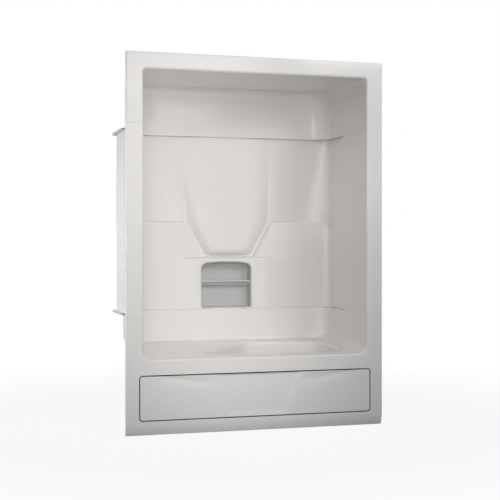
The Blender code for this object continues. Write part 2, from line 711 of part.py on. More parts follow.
class End:
    """The open-fronted tray shape that the tub and the roof share, one the other way up.

    It is a U of walls, coves and floor (or ceiling), run back from the opening and closed by the back wall.
    """

    def __init__(self, up, joint, level, cove, back, corner, corner_growth, back_cove, outer_z):
        self.up = up
        self.joint = joint
        self.level = level
        self.cove = cove
        self.back = back
        self.corner = corner
        self.corner_growth = corner_growth
        self.back_cove = back_cove
        self.outer_z = outer_z

    def u_row(self, half, depth, floor_z, cove, growth=0.0):
        """Half of a U: down the wall from the joint, round the cove and along the floor to the middle."""
        top = floor_z + self.up * cove
        points = []
        for share in WALL_SHARES:
            points.append(at(half - growth * share, depth, between(self.joint, top, share)))
        inner = half - growth - cove
        for step in range(1, COVE_STEPS + 1):
            angle = math.pi / 2 * step / COVE_STEPS
            x = inner + cove * math.cos(angle)
            points.append(at(x, depth, top - self.up * cove * math.sin(angle)))
        points += [at(inner * share, depth, floor_z) for share in FLOOR_SHARES[1:]]
        return points

    def outer_row(self, inset, depth, like):
        """The outer outline of the frame, point for point with a U row."""
        x_out = OUTER_HALF - inset
        z_out = self.outer_z + self.up * inset
        walls = len(WALL_SHARES)
        points = [at(x_out, depth, p.z) for p in like[:walls]]
        z_cove = like[walls - 1].z
        x_foot = like[walls + COVE_STEPS - 1].x
        for step in range(1, COVE_STEPS + 1):
            share = 2 * step / COVE_STEPS
            if share <= 1:
                points.append(at(x_out, depth, between(z_cove, z_out, share)))
            else:
                points.append(at(between(x_out, x_foot, share - 1), depth, z_out))
        points += [at(p.x, depth, z_out) for p in like[walls + COVE_STEPS :]]
        return points

    def frame_rows(self):
        """Rows from the return of the frame, over its face and round the edge of the opening."""
        floor_z = self.level(OPENING_ROUND)
        cove = self.cove(0)
        rounds = []
        for step in range(ROUND_ARC_STEPS, 0, -1):
            angle = math.pi / 2 * step / ROUND_ARC_STEPS
            out = OPENING_ROUND * (1 - math.cos(angle))
            depth = OPENING_ROUND * (1 - math.sin(angle))
            rounds.append(self.u_row(OPENING_HALF + out, depth, floor_z - self.up * out, cove + out))
        first = rounds[0]
        outline = [
            self.outer_row(0, FLANGE_WIDTH, first),
            self.outer_row(0, FRAME_EDGE_ROUND, first),
            self.outer_row(FRAME_EDGE_ROUND, 0, first),
        ]
        return outline + rounds

    def station_rows(self):
        """U rows from the edge of the opening back to the plane of the back wall."""
        across, along = self.corner
        start = self.back - along
        depths = [between(OPENING_ROUND, start, share) for share in STATION_SHARES]
        rows = [self.u_row(OPENING_HALF, depth, self.level(depth), self.cove(depth)) for depth in depths]
        for step in range(1, CORNER_STEPS + 1):
            angle = math.pi / 2 * step / CORNER_STEPS
            depth = start + along * math.sin(angle)
            in_cove = max(0.0, depth - (self.back - self.back_cove))
            rise = self.back_cove - math.sqrt(max(0.0, self.back_cove**2 - in_cove**2))
            floor_z = self.level(min(depth, self.back - self.back_cove)) + self.up * rise
            half = OPENING_HALF - across * (1 - math.cos(angle))
            growth = self.corner_growth * (1 - math.cos(angle))
            rows.append(self.u_row(half, depth, floor_z, self.cove(depth), growth))
        return rows

    def back_rows(self, last):
        """The flat of the back wall, filled between the two sides of the last U."""
        walls = len(WALL_SHARES) + COVE_STEPS
        rows = [[Vector((p.x * share, p.y, p.z)) for share in FLOOR_SHARES] for p in last[:walls]]
        return rows

    def joint_line(self, frame, stations, back_rows):
        """The open edge at the joint, as a half section from the middle of the back wall."""
        top = list(reversed(back_rows[0]))
        sides = [row[0] for row in reversed(stations[:-1])]
        front = [row[0] for row in reversed(frame)]
        return top + sides + front

    def skin(self, bm, tip_back, with_floor):
        frame = self.frame_rows()
        stations = self.station_rows()
        back = self.back_rows(stations[-1])
        skin(bm, [whole(row) for row in frame + stations[:1]])
        sides = len(WALL_SHARES) + COVE_STEPS
        for flip in (1, -1):
            skin(bm, [[Vector((flip * p.x, p.y, p.z)) for p in row[:sides]] for row in stations])
        floor_from = 0 if with_floor else len(STATION_SHARES) - 1
        skin(bm, [whole(row[sides - 1 :]) for row in stations[floor_from:]])
        skin(bm, [whole(row) for row in back])
        line = self.joint_line(frame, stations, back)
        skin(bm, [mirrored(line), mirrored(joint_tip(line, len(FLOOR_SHARES), tip_back))])
        return stations


def whole(half):
    """A whole row from a half row that ends on the middle plane."""
    return half + [Vector((-p.x, p.y, p.z)) for p in reversed(half[:-1])]


def deck_height(depth):
    """The deck rises gently from the rim to the back wall, so that it drains into the basin."""
    return between(RIM_HEIGHT, DECK_BACK_HEIGHT, depth / BAND_DEPTH)


def oval(centre, half, way):
    """The point in a direction on an oval, which is rounder at its left end than at its drain end."""
    across, along = way
    squareness = BASIN_DRAIN_END_SQUARENESS_SHARE if across > 0 else BASIN_BACKREST_SQUARENESS_SHARE
    reach = (abs(across / half[0]) ** squareness + abs(along / half[1]) ** squareness) ** (1 / squareness)
    return centre[0] + across / reach, centre[1] + along / reach


def basin_rings(perimeter):
    """Rings from the edge of the deck, over the basin's rounded edge and down to the drain hole."""
    ways = [(p.x - BASIN_CENTRE[0], p.y - FRONT - BASIN_CENTRE[1]) for p in perimeter]

    def ring(centre, half, height):
        spots = [oval(centre, half, way) for way in ways]
        return [at(x, depth, height(depth)) for x, depth in spots]

    rings = [perimeter]
    for step in range(BASIN_EDGE_STEPS + 1):
        angle = math.pi / 2 * step / BASIN_EDGE_STEPS
        out = BASIN_EDGE_ROUND * (1 - math.sin(angle))
        drop = BASIN_EDGE_ROUND * (1 - math.cos(angle))
        half = (BASIN_HALF[0] + out, BASIN_HALF[1] + out)
        rings.append(ring(BASIN_CENTRE, half, lambda depth, drop=drop: deck_height(depth) - drop))
    for inward, down in BASIN_WALL_SHARES:
        centre = tuple(between(BASIN_CENTRE[i], BASIN_FLOOR_CENTRE[i], inward) for i in (0, 1))
        half = tuple(between(BASIN_HALF[i], BASIN_FLOOR_HALF[i], inward) for i in (0, 1))

        def height(depth, down=down):
            return between(deck_height(depth) - BASIN_EDGE_ROUND, BASIN_FLOOR_HEIGHT, down)

        rings.append(ring(centre, half, height))
    floor = rings[-1]
    drain = at(DRAIN_X, BASIN_MIDDLE_DEPTH, 0)
    first, second = (math.atan2(along, across) for across, along in ways[:2])
    turn = math.copysign(2 * math.pi / len(ways), math.sin(second - first))

    def circle(radius, z):
        angles = [first + turn * count for count in range(len(ways))]
        return [Vector((drain.x + radius * math.cos(a), drain.y + radius * math.sin(a), z)) for a in angles]

    near = circle(DRAIN_SEAT_RADIUS + SHELL, BASIN_FLOOR_HEIGHT - BASIN_FLOOR_FALL)
    rings.append([between(a, b, HALFWAY_SHARE) for a, b in zip(floor, near)])
    rings.append(near)
    rings.append(circle(DRAIN_SEAT_RADIUS, DRAIN_SEAT_HEIGHT))
    rings.append(circle(DRAIN_HOLE_RADIUS, DRAIN_SEAT_HEIGHT))
    return rings


def make_tub():
    """Basin, deck, rim, band, lower jambs and skirt in one moulding, with the access opening cut out."""
    end = End(
        up=1,
        joint=LOWER_JOINT_FOOT,
        level=deck_height,
        cove=lambda depth: TUB_COVE,
        back=BAND_DEPTH,
        corner=BAND_CORNER,
        corner_growth=0.0,
        back_cove=DECK_BACK_COVE,
        outer_z=0.0,
    )
    bm = bmesh.new()
    stations = end.skin(bm, PANEL_DEPTH, with_floor=False)
    foot = len(WALL_SHARES) + COVE_STEPS - 1
    front = whole(stations[0][foot:])
    last = len(STATION_SHARES) - 1
    back = whole(stations[last][foot:])
    right = [row[foot] for row in stations[1:last]]
    left = [Vector((-p.x, p.y, p.z)) for p in reversed(right)]
    perimeter = list(reversed(front)) + right + back + left
    skin(bm, basin_rings(perimeter), closed=True)
    eye = Vector((0, FRONT - UNIT_DEPTH, UNIT_HEIGHT))
    tub = sheet_object("tub", bm, "acrylic", eye)
    opening = rounded_outline(ACCESS_HALF_WIDTH, ACCESS_BOTTOM, ACCESS_TOP, ACCESS_ROUND)
    cut_mesh = plate_mesh("access_opening", opening, -CUT_OVERRUN, SHELL + CUT_OVERRUN)
    combine(tub, add_cutter("access_opening", cut_mesh), "DIFFERENCE")
    return tub


def roof_cove(depth):
    return ROOF_CEILING_COVE + ROOF_COVE_GROWTH * smooth(depth / ROOF_BACK_DEPTH)


def make_roof_cap():
    """Upper walls, ceiling, header and upper jambs in one moulding."""
    end = End(
        up=-1,
        joint=UPPER_JOINT_TOP,
        level=lambda depth: CEILING_HEIGHT,
        cove=roof_cove,
        back=ROOF_BACK_DEPTH,
        corner=ROOF_CORNER,
        corner_growth=ROOF_CORNER_GROWTH,
        back_cove=ROOF_BACK_COVE,
        outer_z=UNIT_HEIGHT,
    )
    bm = bmesh.new()
    end.skin(bm, POCKET_TOP_DEPTH, with_floor=True)
    eye = Vector((0, FRONT - UNIT_DEPTH, UPPER_JOINT_HEIGHT))
    return sheet_object("roof_cap", bm, "acrylic", eye)


def bolt_spots(back_depth):
    """Places of the flange bolts round a joint, as (x, depth)."""
    offset = BOLT_FLANGE_OFFSET
    half = [(x, back_depth + offset) for x in BACK_BOLT_HALVES]
    half.append((OPENING_HALF + offset, SIDE_BOLT_DEPTH))
    half.append((OUTER_HALF - JAMB_BOLT_INSET, offset))
    return half + [(-x, depth) for x, depth in half]


def make_joint_bolts(prefix, height, back_depth, mouldings):
    """The bolts of one joint, each with its nut, and their holes. Returns the cutter of the holes."""
    reach = SHELL + JOINT_GAP / 2 + FIT_GAP
    profile = (
        (0, reach + BOLT_HEAD_HEIGHT),
        (BOLT_HEAD_RADIUS, reach + BOLT_HEAD_HEIGHT),
        (BOLT_HEAD_RADIUS, reach),
        (BOLT_RADIUS, reach),
        (BOLT_RADIUS, -reach),
        (BOLT_HEAD_RADIUS, -reach),
        (BOLT_HEAD_RADIUS, -reach - NUT_HEIGHT),
        (BOLT_RADIUS, -reach - NUT_HEIGHT),
        (BOLT_RADIUS, -reach - NUT_HEIGHT - BOLT_TAIL),
        (0, -reach - NUT_HEIGHT - BOLT_TAIL),
    )
    bolt = turned_mesh(f"{prefix}_bolt", profile, BOLT_SIDES)
    holes = []
    for count, (x, depth) in enumerate(bolt_spots(back_depth), 1):
        add_part(f"{prefix}_bolt_{count}", bolt, "steel", Matrix.Translation(at(x, depth, height)))
        half = Vector((0, 0, reach + CUT_OVERRUN))
        holes.append((at(x, depth, height) - half, at(x, depth, height) + half))
    radius = BOLT_RADIUS + BOLT_HOLE_CLEARANCE
    cutter = add_cutter(f"{prefix}_bolt_holes", rods_mesh(f"{prefix}_bolt_holes", holes, radius, HOLE_SIDES))
    for moulding in mouldings:
        combine(moulding, cutter, "DIFFERENCE")
    return cutter


def make_seal(prefix, height, back, corner, back_depth, cutter):
    """The flat strip between two flanges, flush with the wall that stands on it."""
    columns = [0, COLUMN_HALF, BLOCK_HALF + BLOCK_SIDE_RUN]
    level = flat_level(height - SEAL_THICKNESS / 2)
    inner = half_section(back, columns, REAR_HALF, corner, level)
    tip = joint_tip(inner, len(columns) + len(OUTER_BACK_SHARES), back_depth)
    inner = inner[:-1]
    tip = tip[:-1]
    bm = bmesh.new()
    skin(bm, [mirrored(inner), mirrored(tip)])
    bmesh.ops.remove_doubles(bm, verts=bm.verts, dist=MERGE_DISTANCE)
    bmesh.ops.dissolve_degenerate(bm, edges=bm.edges, dist=MERGE_DISTANCE)
    bmesh.ops.recalc_face_normals(bm, faces=bm.faces)
    if bm.faces[:][0].normal.z > 0:
        bmesh.ops.reverse_faces(bm, faces=bm.faces)
    mesh = bpy.data.meshes.new(f"{prefix}_seal")
    bm.to_mesh(mesh)
    bm.free()
    seal = add_part(f"{prefix}_seal", mesh, "seal")
    wall = seal.modifiers.new("thickness", "SOLIDIFY")
    wall.thickness = SEAL_THICKNESS
    wall.offset = -1
    return combine(seal, cutter, "DIFFERENCE")


def make_access_panel():
    """The pull-off panel, with its sunk centre field and the creases that sweep out to its upper corners."""
    half = ACCESS_HALF_WIDTH - PANEL_SHADOW_GAP
    bottom = ACCESS_BOTTOM + PANEL_SHADOW_GAP
    top = ACCESS_TOP - PANEL_SHADOW_GAP
    edge = PANEL_SHADOW_GAP
    rows = []
    slope = RELIEF_SLOPE
    swoosh_middle = between(SWOOSH_INNER_HALF, SWOOSH_OUTER_HALF, HALFWAY_SHARE)
    heights = [
        bottom,
        RELIEF_FOOT_HEIGHT - slope,
        RELIEF_FOOT_HEIGHT,
        between(RELIEF_FOOT_HEIGHT, SWOOSH_INNER_HEIGHT, HALFWAY_SHARE),
        SWOOSH_INNER_HEIGHT,
        between(SWOOSH_INNER_HEIGHT, top, HALFWAY_SHARE),
        top,
    ]
    for z in heights:
        sunk = z >= RELIEF_FOOT_HEIGHT
        share = (z - RELIEF_FOOT_HEIGHT) / (top - RELIEF_FOOT_HEIGHT)
        foot = between(RELIEF_FOOT_HALF, RELIEF_TOP_HALF, min(1.0, max(0.0, share)))
        outer = foot + slope
        depth = RELIEF_DEPTH if sunk else 0
        row = [at(foot * s, depth, z) for s in RELIEF_COLUMN_SHARES]
        row.append(at(outer, 0, z))
        for x in (SWOOSH_INNER_HALF + slope, swoosh_middle, SWOOSH_OUTER_HALF, half):
            along = (x - SWOOSH_INNER_HALF) / (SWOOSH_OUTER_HALF - SWOOSH_INNER_HALF)
            line = between(SWOOSH_INNER_HEIGHT, SWOOSH_OUTER_HEIGHT, smooth(along))
            above = min(1.0, max(0.0, (z - line) / (top - line)))
            in_swoosh = 1.0 if along < 1 else 0.0
            row.append(at(x, SWOOSH_DEPTH * above * in_swoosh, z))
        rows.append(mirrored(row))
    bm = bmesh.new()
    skin(bm, rows)
    panel = sheet_object("access_panel", bm, "acrylic")
    outline = rounded_outline(half, bottom, top, ACCESS_ROUND - edge)
    limit = plate_mesh("panel_outline", outline, -CUT_OVERRUN, SHELL + RELIEF_DEPTH + CUT_OVERRUN)
    return combine(panel, add_cutter("panel_outline", limit), "INTERSECT")


def stud_spots():
    """Places of the panel's studs, as (x, z), within the lap of the landing frame."""
    low = ACCESS_BOTTOM + PANEL_SHADOW_GAP + STUD_INSET
    high = ACCESS_TOP - PANEL_SHADOW_GAP - STUD_INSET
    side = ACCESS_HALF_WIDTH - PANEL_SHADOW_GAP - STUD_INSET
    return [(x, z) for z in (low, high) for x in (-side + ACCESS_ROUND, side - ACCESS_ROUND)] + [(0, low)]


def make_panel_fixing(panel):
    """The frame behind the access opening, the grommets in it and the studs of the panel that they hold."""
    front = SHELL + FIT_GAP
    back = front + LANDING_THICKNESS
    outer = rounded_outline(
        ACCESS_HALF_WIDTH + LANDING_LAP,
        ACCESS_BOTTOM - LANDING_LAP,
        ACCESS_TOP + LANDING_LAP,
        ACCESS_ROUND + LANDING_LAP,
    )
    window = rounded_outline(
        ACCESS_HALF_WIDTH - LANDING_LIP,
        ACCESS_BOTTOM + LANDING_LIP,
        ACCESS_TOP - LANDING_LIP,
        ACCESS_ROUND,
    )
    mesh = plate_mesh("panel_landing_frame", outer, front, back)
    landing = add_part("panel_landing_frame", mesh, "plastic")
    cut_mesh = plate_mesh("landing_window", window, front - CUT_OVERRUN, back + CUT_OVERRUN)
    combine(landing, add_cutter("landing_window", cut_mesh), "DIFFERENCE")
    half = LANDING_GAP_HALF
    low = ACCESS_TOP - LANDING_LIP * 2
    notch = [(-half, low), (half, low), (half, UNIT_HEIGHT), (-half, UNIT_HEIGHT)]
    notch_mesh = plate_mesh("landing_notch", notch, front - CUT_OVERRUN, back + CUT_OVERRUN)
    combine(landing, add_cutter("landing_notch", notch_mesh), "DIFFERENCE")
    bore = STUD_RADIUS + STUD_CLEARANCE
    socket_radius = bore + SOCKET_WALL
    spots = stud_spots()
    holes = [(at(x, front - CUT_OVERRUN, z), at(x, back + CUT_OVERRUN, z)) for x, z in spots]
    holes_mesh = rods_mesh("socket_holes", holes, socket_radius + FIT_GAP, SMALL_ROUND_STEPS)
    combine(landing, add_cutter("socket_holes", holes_mesh), "DIFFERENCE")
    pin_root = SHELL / 2
    pins = [(at(x, pin_root, z), at(x, front + STUD_LENGTH, z)) for x, z in spots]
    studs_mesh = rods_mesh("panel_studs", pins, STUD_RADIUS, HOLE_SIDES)
    combine(panel, add_cutter("panel_studs", studs_mesh), "UNION")
    flange_radius = socket_radius + SOCKET_FLANGE
    flange_front = back - front + FIT_GAP
    profile = (
        (bore, flange_front + SOCKET_FLANGE_THICKNESS),
        (flange_radius, flange_front + SOCKET_FLANGE_THICKNESS),
        (flange_radius, flange_front),
        (socket_radius, flange_front),
        (socket_radius, 0),
        (bore, 0),
    )
    grommet = turned_mesh("panel_grommet", profile, SMALL_ROUND_STEPS)
    turn = Matrix.Rotation(-math.pi / 2, 4, "X")
    for count, (x, z) in enumerate(spots, 1):
        add_part(f"panel_grommet_{count}", grommet, "rubber", Matrix.Translation(at(x, front, z)) @ turn)


def make_niche(surround):
    """The niche opening in the block, its lining with a soap shelf, the bar across it and its seal."""
    hole_back = BLOCK_DEPTH + SHELL + CUT_OVERRUN
    hole = plate_mesh("niche_hole", niche_outline(0), BLOCK_DEPTH - CUT_OVERRUN, hole_back)
    combine(surround, add_cutter("niche_hole", hole), "DIFFERENCE")

    front = BLOCK_DEPTH + INSERT_SETBACK
    back = BLOCK_DEPTH + INSERT_DEPTH
    seal_front = BLOCK_DEPTH + SHELL + FIT_GAP
    flange_front = seal_front + NICHE_SEAL_THICKNESS + FIT_GAP
    body = plate_mesh("soap_niche_insert", niche_outline(-FIT_GAP), front, back)
    insert = add_part("soap_niche_insert", body, "grey_insert")
    rim = niche_outline(INSERT_FLANGE, INSERT_FOOT_FLANGE)
    flange = plate_mesh("insert_flange", rim, flange_front, flange_front + INSERT_WALL)
    combine(insert, add_cutter("insert_flange", flange), "UNION")
    inner = niche_outline(-FIT_GAP - INSERT_WALL)
    hollow = plate_mesh("insert_hollow", inner, front - CUT_OVERRUN, back - INSERT_WALL)
    combine(insert, add_cutter("insert_hollow", hollow), "DIFFERENCE")
    inner_half = NICHE_HALF_WIDTH - FIT_GAP - INSERT_WALL
    shelf_low = at(-inner_half - INSERT_WALL / 2, back - INSERT_WALL - SOAP_SHELF_DEPTH, SOAP_SHELF_HEIGHT)
    shelf_top = SOAP_SHELF_HEIGHT + SOAP_SHELF_THICKNESS
    shelf_high = at(inner_half + INSERT_WALL / 2, back - INSERT_WALL / 2, shelf_top)
    combine(insert, add_cutter("soap_shelf", box_mesh("soap_shelf", shelf_low, shelf_high)), "UNION")

    bar_depth = front + BAR_SETBACK
    boss_radius = BAR_RADIUS + FIT_GAP + BAR_BOSS_WALL
    boss_inner = inner_half - BAR_BOSS_LENGTH
    bosses = []
    for side in (-1, 1):
        outer_end = at(side * (inner_half + INSERT_WALL / 2), bar_depth, BAR_HEIGHT)
        bosses.append((at(side * boss_inner, bar_depth, BAR_HEIGHT), outer_end))
    boss_mesh = rods_mesh("bar_bosses", bosses, boss_radius, SMALL_ROUND_STEPS)
    combine(insert, add_cutter("bar_bosses", boss_mesh), "UNION")
    ends = [at(side * inner_half, bar_depth, BAR_HEIGHT) for side in (-1, 1)]
    bore_mesh = rod_mesh("bar_bore", *ends, BAR_RADIUS + FIT_GAP, SMALL_ROUND_STEPS)
    combine(insert, add_cutter("bar_bore", bore_mesh), "DIFFERENCE")
    ends = [at(side * (inner_half - FIT_GAP), bar_depth, BAR_HEIGHT) for side in (-1, 1)]
    add_part("washcloth_bar", rod_mesh("washcloth_bar", *ends, BAR_RADIUS, SMALL_ROUND_STEPS), "grey_insert")

    seal = plate_mesh("niche_seal", rim, seal_front, seal_front + NICHE_SEAL_THICKNESS)
    niche_seal = add_part("niche_seal", seal, "rubber")
    near = seal_front - CUT_OVERRUN
    far = seal_front + CUT_OVERRUN
    clear_mesh = plate_mesh("seal_window", niche_outline(FIT_GAP), near, far)
    combine(niche_seal, add_cutter("seal_window", clear_mesh), "DIFFERENCE")


def make_base():
    """The board under the basin floor and the two runners that stand on the floor."""
    board_top = BASIN_FLOOR_HEIGHT - BASIN_FLOOR_FALL - SHELL - FIT_GAP
    board_bottom = board_top - BOARD_THICKNESS
    middle = BASIN_MIDDLE_DEPTH
    low = at(BOARD_LEFT, middle - BOARD_WIDTH / 2, board_bottom)
    high = at(BOARD_RIGHT, middle + BOARD_WIDTH / 2, board_top)
    add_part("base_board", box_mesh("base_board", low, high), "board")
    for name, side in (("front_runner", -1), ("back_runner", 1)):
        depth = middle + side * RUNNER_SPACING / 2
        low = at(BOARD_LEFT, depth - RUNNER_WIDTH / 2, 0)
        high = at(BOARD_RIGHT, depth + RUNNER_WIDTH / 2, board_bottom - FIT_GAP)
        add_part(name, box_mesh(name, low, high), "board")


def make_drain():
    """The strainer body in the basin floor, its gasket and shoe, and the push stopper on its post."""
    axis = at(DRAIN_X, BASIN_MIDDLE_DEPTH, 0)
    place = Matrix.Translation(axis)
    seat = DRAIN_SEAT_HEIGHT + FIT_GAP
    top = seat + DRAIN_FLANGE_THICKNESS
    body_bore = DRAIN_BODY_RADIUS - DRAIN_BODY_WALL
    foot = seat - DRAIN_BODY_LENGTH
    profile = (
        (body_bore, top),
        (DRAIN_FLANGE_RADIUS, top),
        (DRAIN_FLANGE_RADIUS, seat),
        (DRAIN_BODY_RADIUS, seat),
        (DRAIN_BODY_RADIUS, foot),
        (body_bore, foot),
    )
    drain = add_part("drain_flange", turned_mesh("drain_flange", profile, ROUND_STEPS, place), "chrome")
    bar_top = top - CROSSBAR_DROP
    bar_low = axis + Vector((-body_bore - DRAIN_BODY_WALL / 2, -CROSSBAR_WIDTH / 2, bar_top - CROSSBAR_THICKNESS))
    bar_high = axis + Vector((body_bore + DRAIN_BODY_WALL / 2, CROSSBAR_WIDTH / 2, bar_top))
    combine(drain, add_cutter("crossbar", box_mesh("crossbar", bar_low, bar_high)), "UNION")

    cap_bottom = top + STOPPER_SEAL_THICKNESS + STOPPER_LIFT
    hub_bore = POST_RADIUS + POST_CLEARANCE
    hub = hub_bore + STOPPER_HUB_WALL
    hub_bottom = cap_bottom - STOPPER_HUB_LENGTH
    cap_top = cap_bottom + STOPPER_THICKNESS
    bore_top = cap_bottom + STOPPER_THICKNESS * STOPPER_BORE_SHARE
    crown = [(STOPPER_RADIUS * out, cap_top - STOPPER_THICKNESS * fall) for out, fall in STOPPER_CROWN_SHARES]
    stopper = (
        (0, cap_top),
        *crown,
        (STOPPER_RADIUS, cap_bottom),
        (hub, cap_bottom),
        (hub, hub_bottom),
        (hub_bore, hub_bottom),
        (hub_bore, bore_top),
        (0, bore_top),
    )
    add_part("drain_stopper", turned_mesh("drain_stopper", stopper, ROUND_STEPS, place), "chrome")
    seal_top = cap_bottom - FIT_GAP
    seal = (
        (hub + FIT_GAP, seal_top),
        (STOPPER_SEAL_RADIUS, seal_top),
        (STOPPER_SEAL_RADIUS, seal_top - STOPPER_SEAL_THICKNESS),
        (hub + FIT_GAP, seal_top - STOPPER_SEAL_THICKNESS),
    )
    add_part("stopper_seal", turned_mesh("stopper_seal", seal, ROUND_STEPS, place), "rubber")
    post_top = bore_top - STOPPER_TRAVEL - POST_CLEARANCE
    ends = [axis + Vector((0, 0, z)) for z in (bar_top + FIT_GAP, post_top)]
    add_part("stopper_post", rod_mesh("stopper_post", *ends, POST_RADIUS, SMALL_ROUND_STEPS), "chrome")

    gasket_top = DRAIN_SEAT_HEIGHT - SHELL - FIT_GAP
    gasket_bottom = gasket_top - SHOE_GASKET_THICKNESS
    bore = DRAIN_BODY_RADIUS + FIT_GAP
    gasket = (
        (bore, gasket_top),
        (SHOE_FLANGE_RADIUS, gasket_top),
        (SHOE_FLANGE_RADIUS, gasket_bottom),
        (bore, gasket_bottom),
    )
    add_part("drain_gasket", turned_mesh("drain_gasket", gasket, ROUND_STEPS, place), "rubber")
    shoe_top = gasket_bottom - FIT_GAP
    shoe_outer = bore + SHOE_WALL
    shoe_foot = WASTE_AXIS_HEIGHT - shoe_outer
    flange_bottom = shoe_top - SHOE_FLANGE_THICKNESS
    cup = (
        (bore, shoe_top),
        (SHOE_FLANGE_RADIUS, shoe_top),
        (SHOE_FLANGE_RADIUS, flange_bottom),
        (shoe_outer, flange_bottom),
        (shoe_outer, shoe_foot),
        (0, shoe_foot),
        (0, shoe_foot + SHOE_WALL),
        (bore, shoe_foot + SHOE_WALL),
    )
    shoe = add_part("drain_shoe", turned_mesh("drain_shoe", close_on_axis(cup), ROUND_STEPS, place), "plastic")
    centre = axis + Vector((0, 0, WASTE_AXIS_HEIGHT))
    start = centre + Vector((bore + SHOE_WALL / 2, 0, 0))
    end = centre + Vector((shoe_outer + SOCKET_DEPTH, 0, 0))
    socket_bore = PIPE_RADIUS + FIT_GAP
    outlet = rod_mesh("shoe_outlet", start, end, socket_bore + SOCKET_BODY_WALL)
    combine(shoe, add_cutter("shoe_outlet", outlet), "UNION")
    way = rod_mesh("shoe_way", centre, end + Vector((CUT_OVERRUN, 0, 0)), socket_bore)
    combine(shoe, add_cutter("shoe_way", way), "DIFFERENCE")
    return end


def close_on_axis(profile):
    """Reorders a cup's profile so that it starts and ends on the axis."""
    first = next(i for i, point in enumerate(profile) if point[0] == 0)
    return profile[first + 1 :] + profile[: first + 1]


def overflow_place():
    """The place of the overflow on the drain end of the basin wall: +Z points into the basin."""
    x_edge = BASIN_RIGHT
    z_edge = deck_height(BASIN_MIDDLE_DEPTH) - BASIN_EDGE_ROUND
    inward, down = BASIN_WALL_SHARES[0]
    x_floor = FLOOR_RIGHT
    x_low = between(x_edge, x_floor, inward)
    z_low = between(z_edge, BASIN_FLOOR_HEIGHT, down)
    share = OVERFLOW_DROP / (z_edge - z_low)
    spot = at(between(x_edge, x_low, share), BASIN_MIDDLE_DEPTH, z_edge - OVERFLOW_DROP)
    lean = math.atan2(x_edge - x_low, z_edge - z_low)
    turn = Matrix.Rotation(-math.pi / 2 + lean, 4, "Y")
    return Matrix.Translation(spot) @ turn


